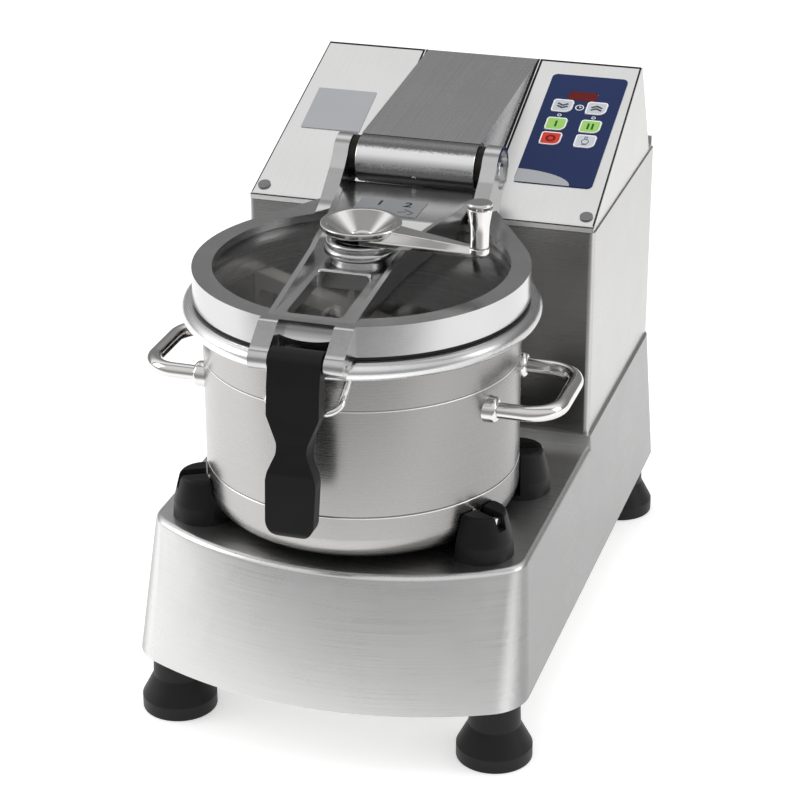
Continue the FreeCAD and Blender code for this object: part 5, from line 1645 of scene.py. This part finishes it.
    def build(self) -> List[Piece]:
        """Build the keypad's caps, signs and marks.

        Returns:
            The keypad's visible pieces.
        """
        rise = self.print_rise
        keys = [self.key(f"key_{name}") for name in ("down", "up", "speed_one", "speed_two", "stop", "pulse")]
        signs = (("key_down", self.chevrons(-1), "ink_grey"), ("key_up", self.chevrons(1), "ink_grey"),
                 ("key_speed_one", [bar(0, 0, *self.stroke, rise)], "ink_green"),
                 ("key_speed_two", [bar(way * self.stroke_gap, 0, *self.stroke, rise) for way in (-1, 1)],
                  "ink_green"),
                 ("key_stop", [hoop(0, 0, *self.ring, rise)], "ink_red"),
                 ("key_pulse", self.hand(), "ink_grey"))
        return keys + [self.sign(*sign) for sign in signs] + self.foil_marks() + [self.window()]


@dataclass
class Hinge:
    """Hinge housing, barrel and the grub screw in the barrel.

    Attributes:
        finishes: the finishes.
        screw_r: radius of the grub screw.
        screw_length: its length.
        screw_chamfer: its chamfer.
        socket_rim: width of the rim round its socket.
        socket_depth: how deep the socket is.
        screw_stand: how far it stands out of the barrel.
        screw_way: where it points.
    """

    finishes: Finishes
    screw_r: float = 2.2 * MM
    screw_length: float = 6 * MM
    screw_chamfer: float = 0.4 * MM
    socket_rim: float = 0.8 * MM
    socket_depth: float = 2.0 * MM
    screw_stand: float = 0.1 * MM
    screw_way: Tuple[float, float, float] = (0, -0.92, -0.39)

    def grub(self) -> Piece:
        """The socket screw that locks the hinge pin.

        Returns:
            The screw, riding on the machine.
        """
        axis, low = middle("hinge_barrel"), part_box("hinge_barrel")[0]
        rings = [(self.screw_r, -self.screw_length), (self.screw_r, 0.0),
                 (self.screw_r - self.screw_chamfer, self.screw_chamfer)]
        screw = lathe(rings, Vector((0, 0, 0)))
        with editing(screw):
            pick(screw, "faces", lambda face: face.normal.z > 0.9)
            bpy.ops.mesh.inset(thickness=self.socket_rim)
            bpy.ops.mesh.extrude_region_move(TRANSFORM_OT_translate={"value": (0, 0, -self.socket_depth)})
        out = Vector(self.screw_way).normalized()
        at = axis + out * (axis.z - low.z + self.screw_stand)
        screw.name = "hinge_grub_screw"
        lay(screw, Matrix.Translation(at) @ out.to_track_quat("Z", "Y").to_matrix().to_4x4())
        smooth(screw)
        return add_to(self.finishes.dress(screw, "polished_steel"), "polished_steel", "machine")

    def build(self) -> List[Piece]:
        """Round the hinge's edges and add its screw.

        Returns:
            The hinge's visible pieces.
        """
        dress = self.finishes.dress
        housing = dress(softened("hinge_housing", "hinge_housing_shell", 1.2 * MM, 3), "hinge_sheet")
        barrel = dress(softened("hinge_barrel", "hinge_barrel_turned", 0.4 * MM), "barrel_steel")
        return [housing, barrel, self.grub()]


@dataclass
class BowlSet:
    """The bowl's posts and the lugs on the pins they hold.

    Attributes:
        finishes: the finishes.
        post_edge: radius of a post's edges.
        lug: a lug's width, height and thickness.
        lug_corner: radius of its corners.
        lug_lift: how far it lies above the pins' middle.
        lug_sink: how far it lies inside a pin's end.
    """

    finishes: Finishes
    post_edge: float = 1.0 * MM
    lug: Tuple[float, float, float] = (9.6 * MM, 10.4 * MM, 3.2 * MM)
    lug_corner: float = 2.4 * MM
    lug_lift: float = 0.4 * MM
    lug_sink: float = 0.4 * MM

    def build(self) -> List[Piece]:
        """Round the posts and put a flat lug on each pin's end.

        Returns:
            The posts and the lugs.
        """
        pieces = []
        centre, upward = middle("bowl"), Vector((0, 0, 1))
        pins = [corner.co for corner in frame["nodes"]["bowl_pins"].data.vertices]
        height = sum(corner.z for corner in pins) / len(pins)
        pattern = bar(0, 0, *self.lug, 0, self.lug_corner)
        for corner in ("front_left", "front_right", "rear_left", "rear_right"):
            node = f"bowl_post_{corner}"
            post = softened(node, f"{node}_moulded", self.post_edge, 3)
            way = middle(node) - centre
            way = Vector((way.x, way.y, 0)).normalized()
            far = max((point - centre).dot(way) for point in pins)
            lug = copied(pattern, f"bowl_pin_lug_{corner}")
            turn = Matrix((upward.cross(way), upward, way)).transposed().to_4x4()
            at = Vector((centre.x, centre.y, height + self.lug_lift)) + way * (far - self.lug_sink)
            lay(lug, Matrix.Translation(at) @ turn)
            pieces.append(self.finishes.dress(post, "post_plastic"))
            pieces.append(add_to(self.finishes.dress(lug, "polished_steel"), "polished_steel", "machine"))
        bpy.data.objects.remove(pattern)
        return pieces


@dataclass
class Lid:
    """The cast lid with rounded edges, and the numbers on its plate.

    Attributes:
        finishes: the finishes.
        edge: radius of the casting's edges.
        plate_place: the plate's middle, from the bowl's axis.
        plate_size: its width and depth.
        plate_corner: radius of its corners.
        digits: each number with its middle on the plate.
        digit_height: height of a number.
        digit_weight: how much its strokes are thickened.
        sign: middle, length and turn in degrees of each line of the sign below the numbers.
        sign_width: width of its lines.
        ink_rise: thickness of the ink.
    """

    finishes: Finishes
    edge: float = 1.6 * MM
    plate_place: Tuple[float, float] = (-3.5 * MM, 98.0 * MM)
    plate_size: Tuple[float, float] = (65 * MM, 44 * MM)
    plate_corner: float = 1.0 * MM
    digits: Tuple[Tuple[str, float, float], ...] = (("1", -11.5 * MM, 8.0 * MM), ("2", 16.2 * MM, 9.0 * MM))
    digit_height: float = 12.0 * MM
    digit_weight: float = 0.35 * MM
    sign: Tuple[Tuple[float, float, float, float], ...] = (
        (16 * MM, -11 * MM, 9 * MM, 20), (21 * MM, -6.5 * MM, 11 * MM, -35), (25 * MM, -14 * MM, 8 * MM, 60))
    sign_width: float = 1.1 * MM
    ink_rise: float = 0.1 * MM

    def plate(self) -> List[Piece]:
        """The plate on the arm, with its two numbers and the small line sign below the second.

        Returns:
            The plate and its printing.
        """
        low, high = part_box("label_plate")
        centre = middle("bowl")
        x, y = centre.x + self.plate_place[0], centre.y + self.plate_place[1]
        sheet = bar(0, 0, *self.plate_size, high.z - low.z, 0, self.plate_corner)
        sheet.name = "label_sheet"
        lay(sheet, Matrix.Translation((x, y, low.z)))
        numbers = [word(digit, *place, self.digit_height, self.ink_rise, self.digit_weight)
                   for digit, *place in self.digits]
        lines = [bar(*place, length, self.sign_width, self.ink_rise, turn)
                 for *place, length, turn in self.sign]
        marks = lay(join(numbers + lines, "label_numbers"), Matrix.Translation((x, y, high.z)))
        return [stand_for(self.finishes.dress(sheet, "plain_plate"), "label_plate"),
                add_to(self.finishes.dress(marks, "ink_dark"), "plain_plate", "lid")]

    def build(self) -> List[Piece]:
        """Round the casting's edges and add the numbers."""
        casting = self.finishes.dress(softened("lid_frame", "lid_casting", self.edge, 3), "lid_casting")
        return [casting] + self.plate()


@dataclass(frozen=True)
class CornerMove:
    """How far a pair of the latch's outline corners is moved.

    Attributes:
        low: the corners lie above this height.
        high: and below this one.
        lift: how far they go up.
        front: how far they go back on the front face, per length upward.
        back: the same on the back face.
    """

    low: float
    high: float
    lift: float
    front: float
    back: float


@dataclass
class Latch:
    """The black latch lever, whose outline is drawn nearer to the curves it is moulded with.

    Attributes:
        finishes: the finishes.
        edge: radius of its edges.
        half_width: the outline's corners lie farther out than this.
        mid_depth: the front face lies in front of this y.
        moves: what is done to the shoulders above and below the waist.
        waist: below this height the lever is narrowed.
        share: the share of its width it keeps there.
    """

    finishes: Finishes
    edge: float = 1.8 * MM
    half_width: float = 20 * MM
    mid_depth: float = -330 * MM
    moves: Tuple[CornerMove, ...] = (CornerMove(389 * MM, 399 * MM, -20 * MM, 0.115, 0.0),
                                     CornerMove(284 * MM, 306 * MM, 20 * MM, 0.21, 0.21))
    waist: float = 328 * MM
    share: float = 0.91

    def build(self) -> List[Piece]:
        """Round the lever's edges and move its outline's corners.

        Returns:
            The lever.
        """
        lever = softened("latch_lever", "latch_moulded", self.edge, 4)
        with editing(lever, "VERT"):
            for move in self.moves:
                for in_front, lean in ((True, move.front), (False, move.back)):
                    pick(lever, "verts", lambda corner: abs(corner.co.x) > self.half_width
                         and move.low < corner.co.z < move.high
                         and (corner.co.y < self.mid_depth) == in_front)
                    bpy.ops.transform.translate(value=(0, move.lift * lean, move.lift))
            pick(lever, "verts", lambda corner: corner.co.z < self.waist)
            bpy.ops.transform.resize(value=(self.share, 1, 1), center_override=(0, 0, 0))
        return [self.finishes.dress(lever, "latch_plastic")]


@dataclass
class Crank:
    """The funnel crank."""

    finishes: Finishes
    edge: float = 1.4 * MM

    def build(self) -> List[Piece]:
        """Round the crank's edges."""
        return [self.finishes.dress(softened("crank", "crank_polished", self.edge, 4), "polished_steel")]


def main() -> None:
    """Build the studio and dress the machine."""
    logging.basicConfig(level=logging.INFO, format="%(message)s")
    Studio().build()
    finishes = Finishes()
    finishes.dress_nodes()
    for kind in (Casing, Keypad, Hinge, BowlSet, Lid, Latch, Crank):
        for piece in kind(finishes).build():
            LOG.info("%s: %s with %d faces", kind.__name__, piece.name, len(piece.data.polygons))


if __name__ == "__main__":
    main()
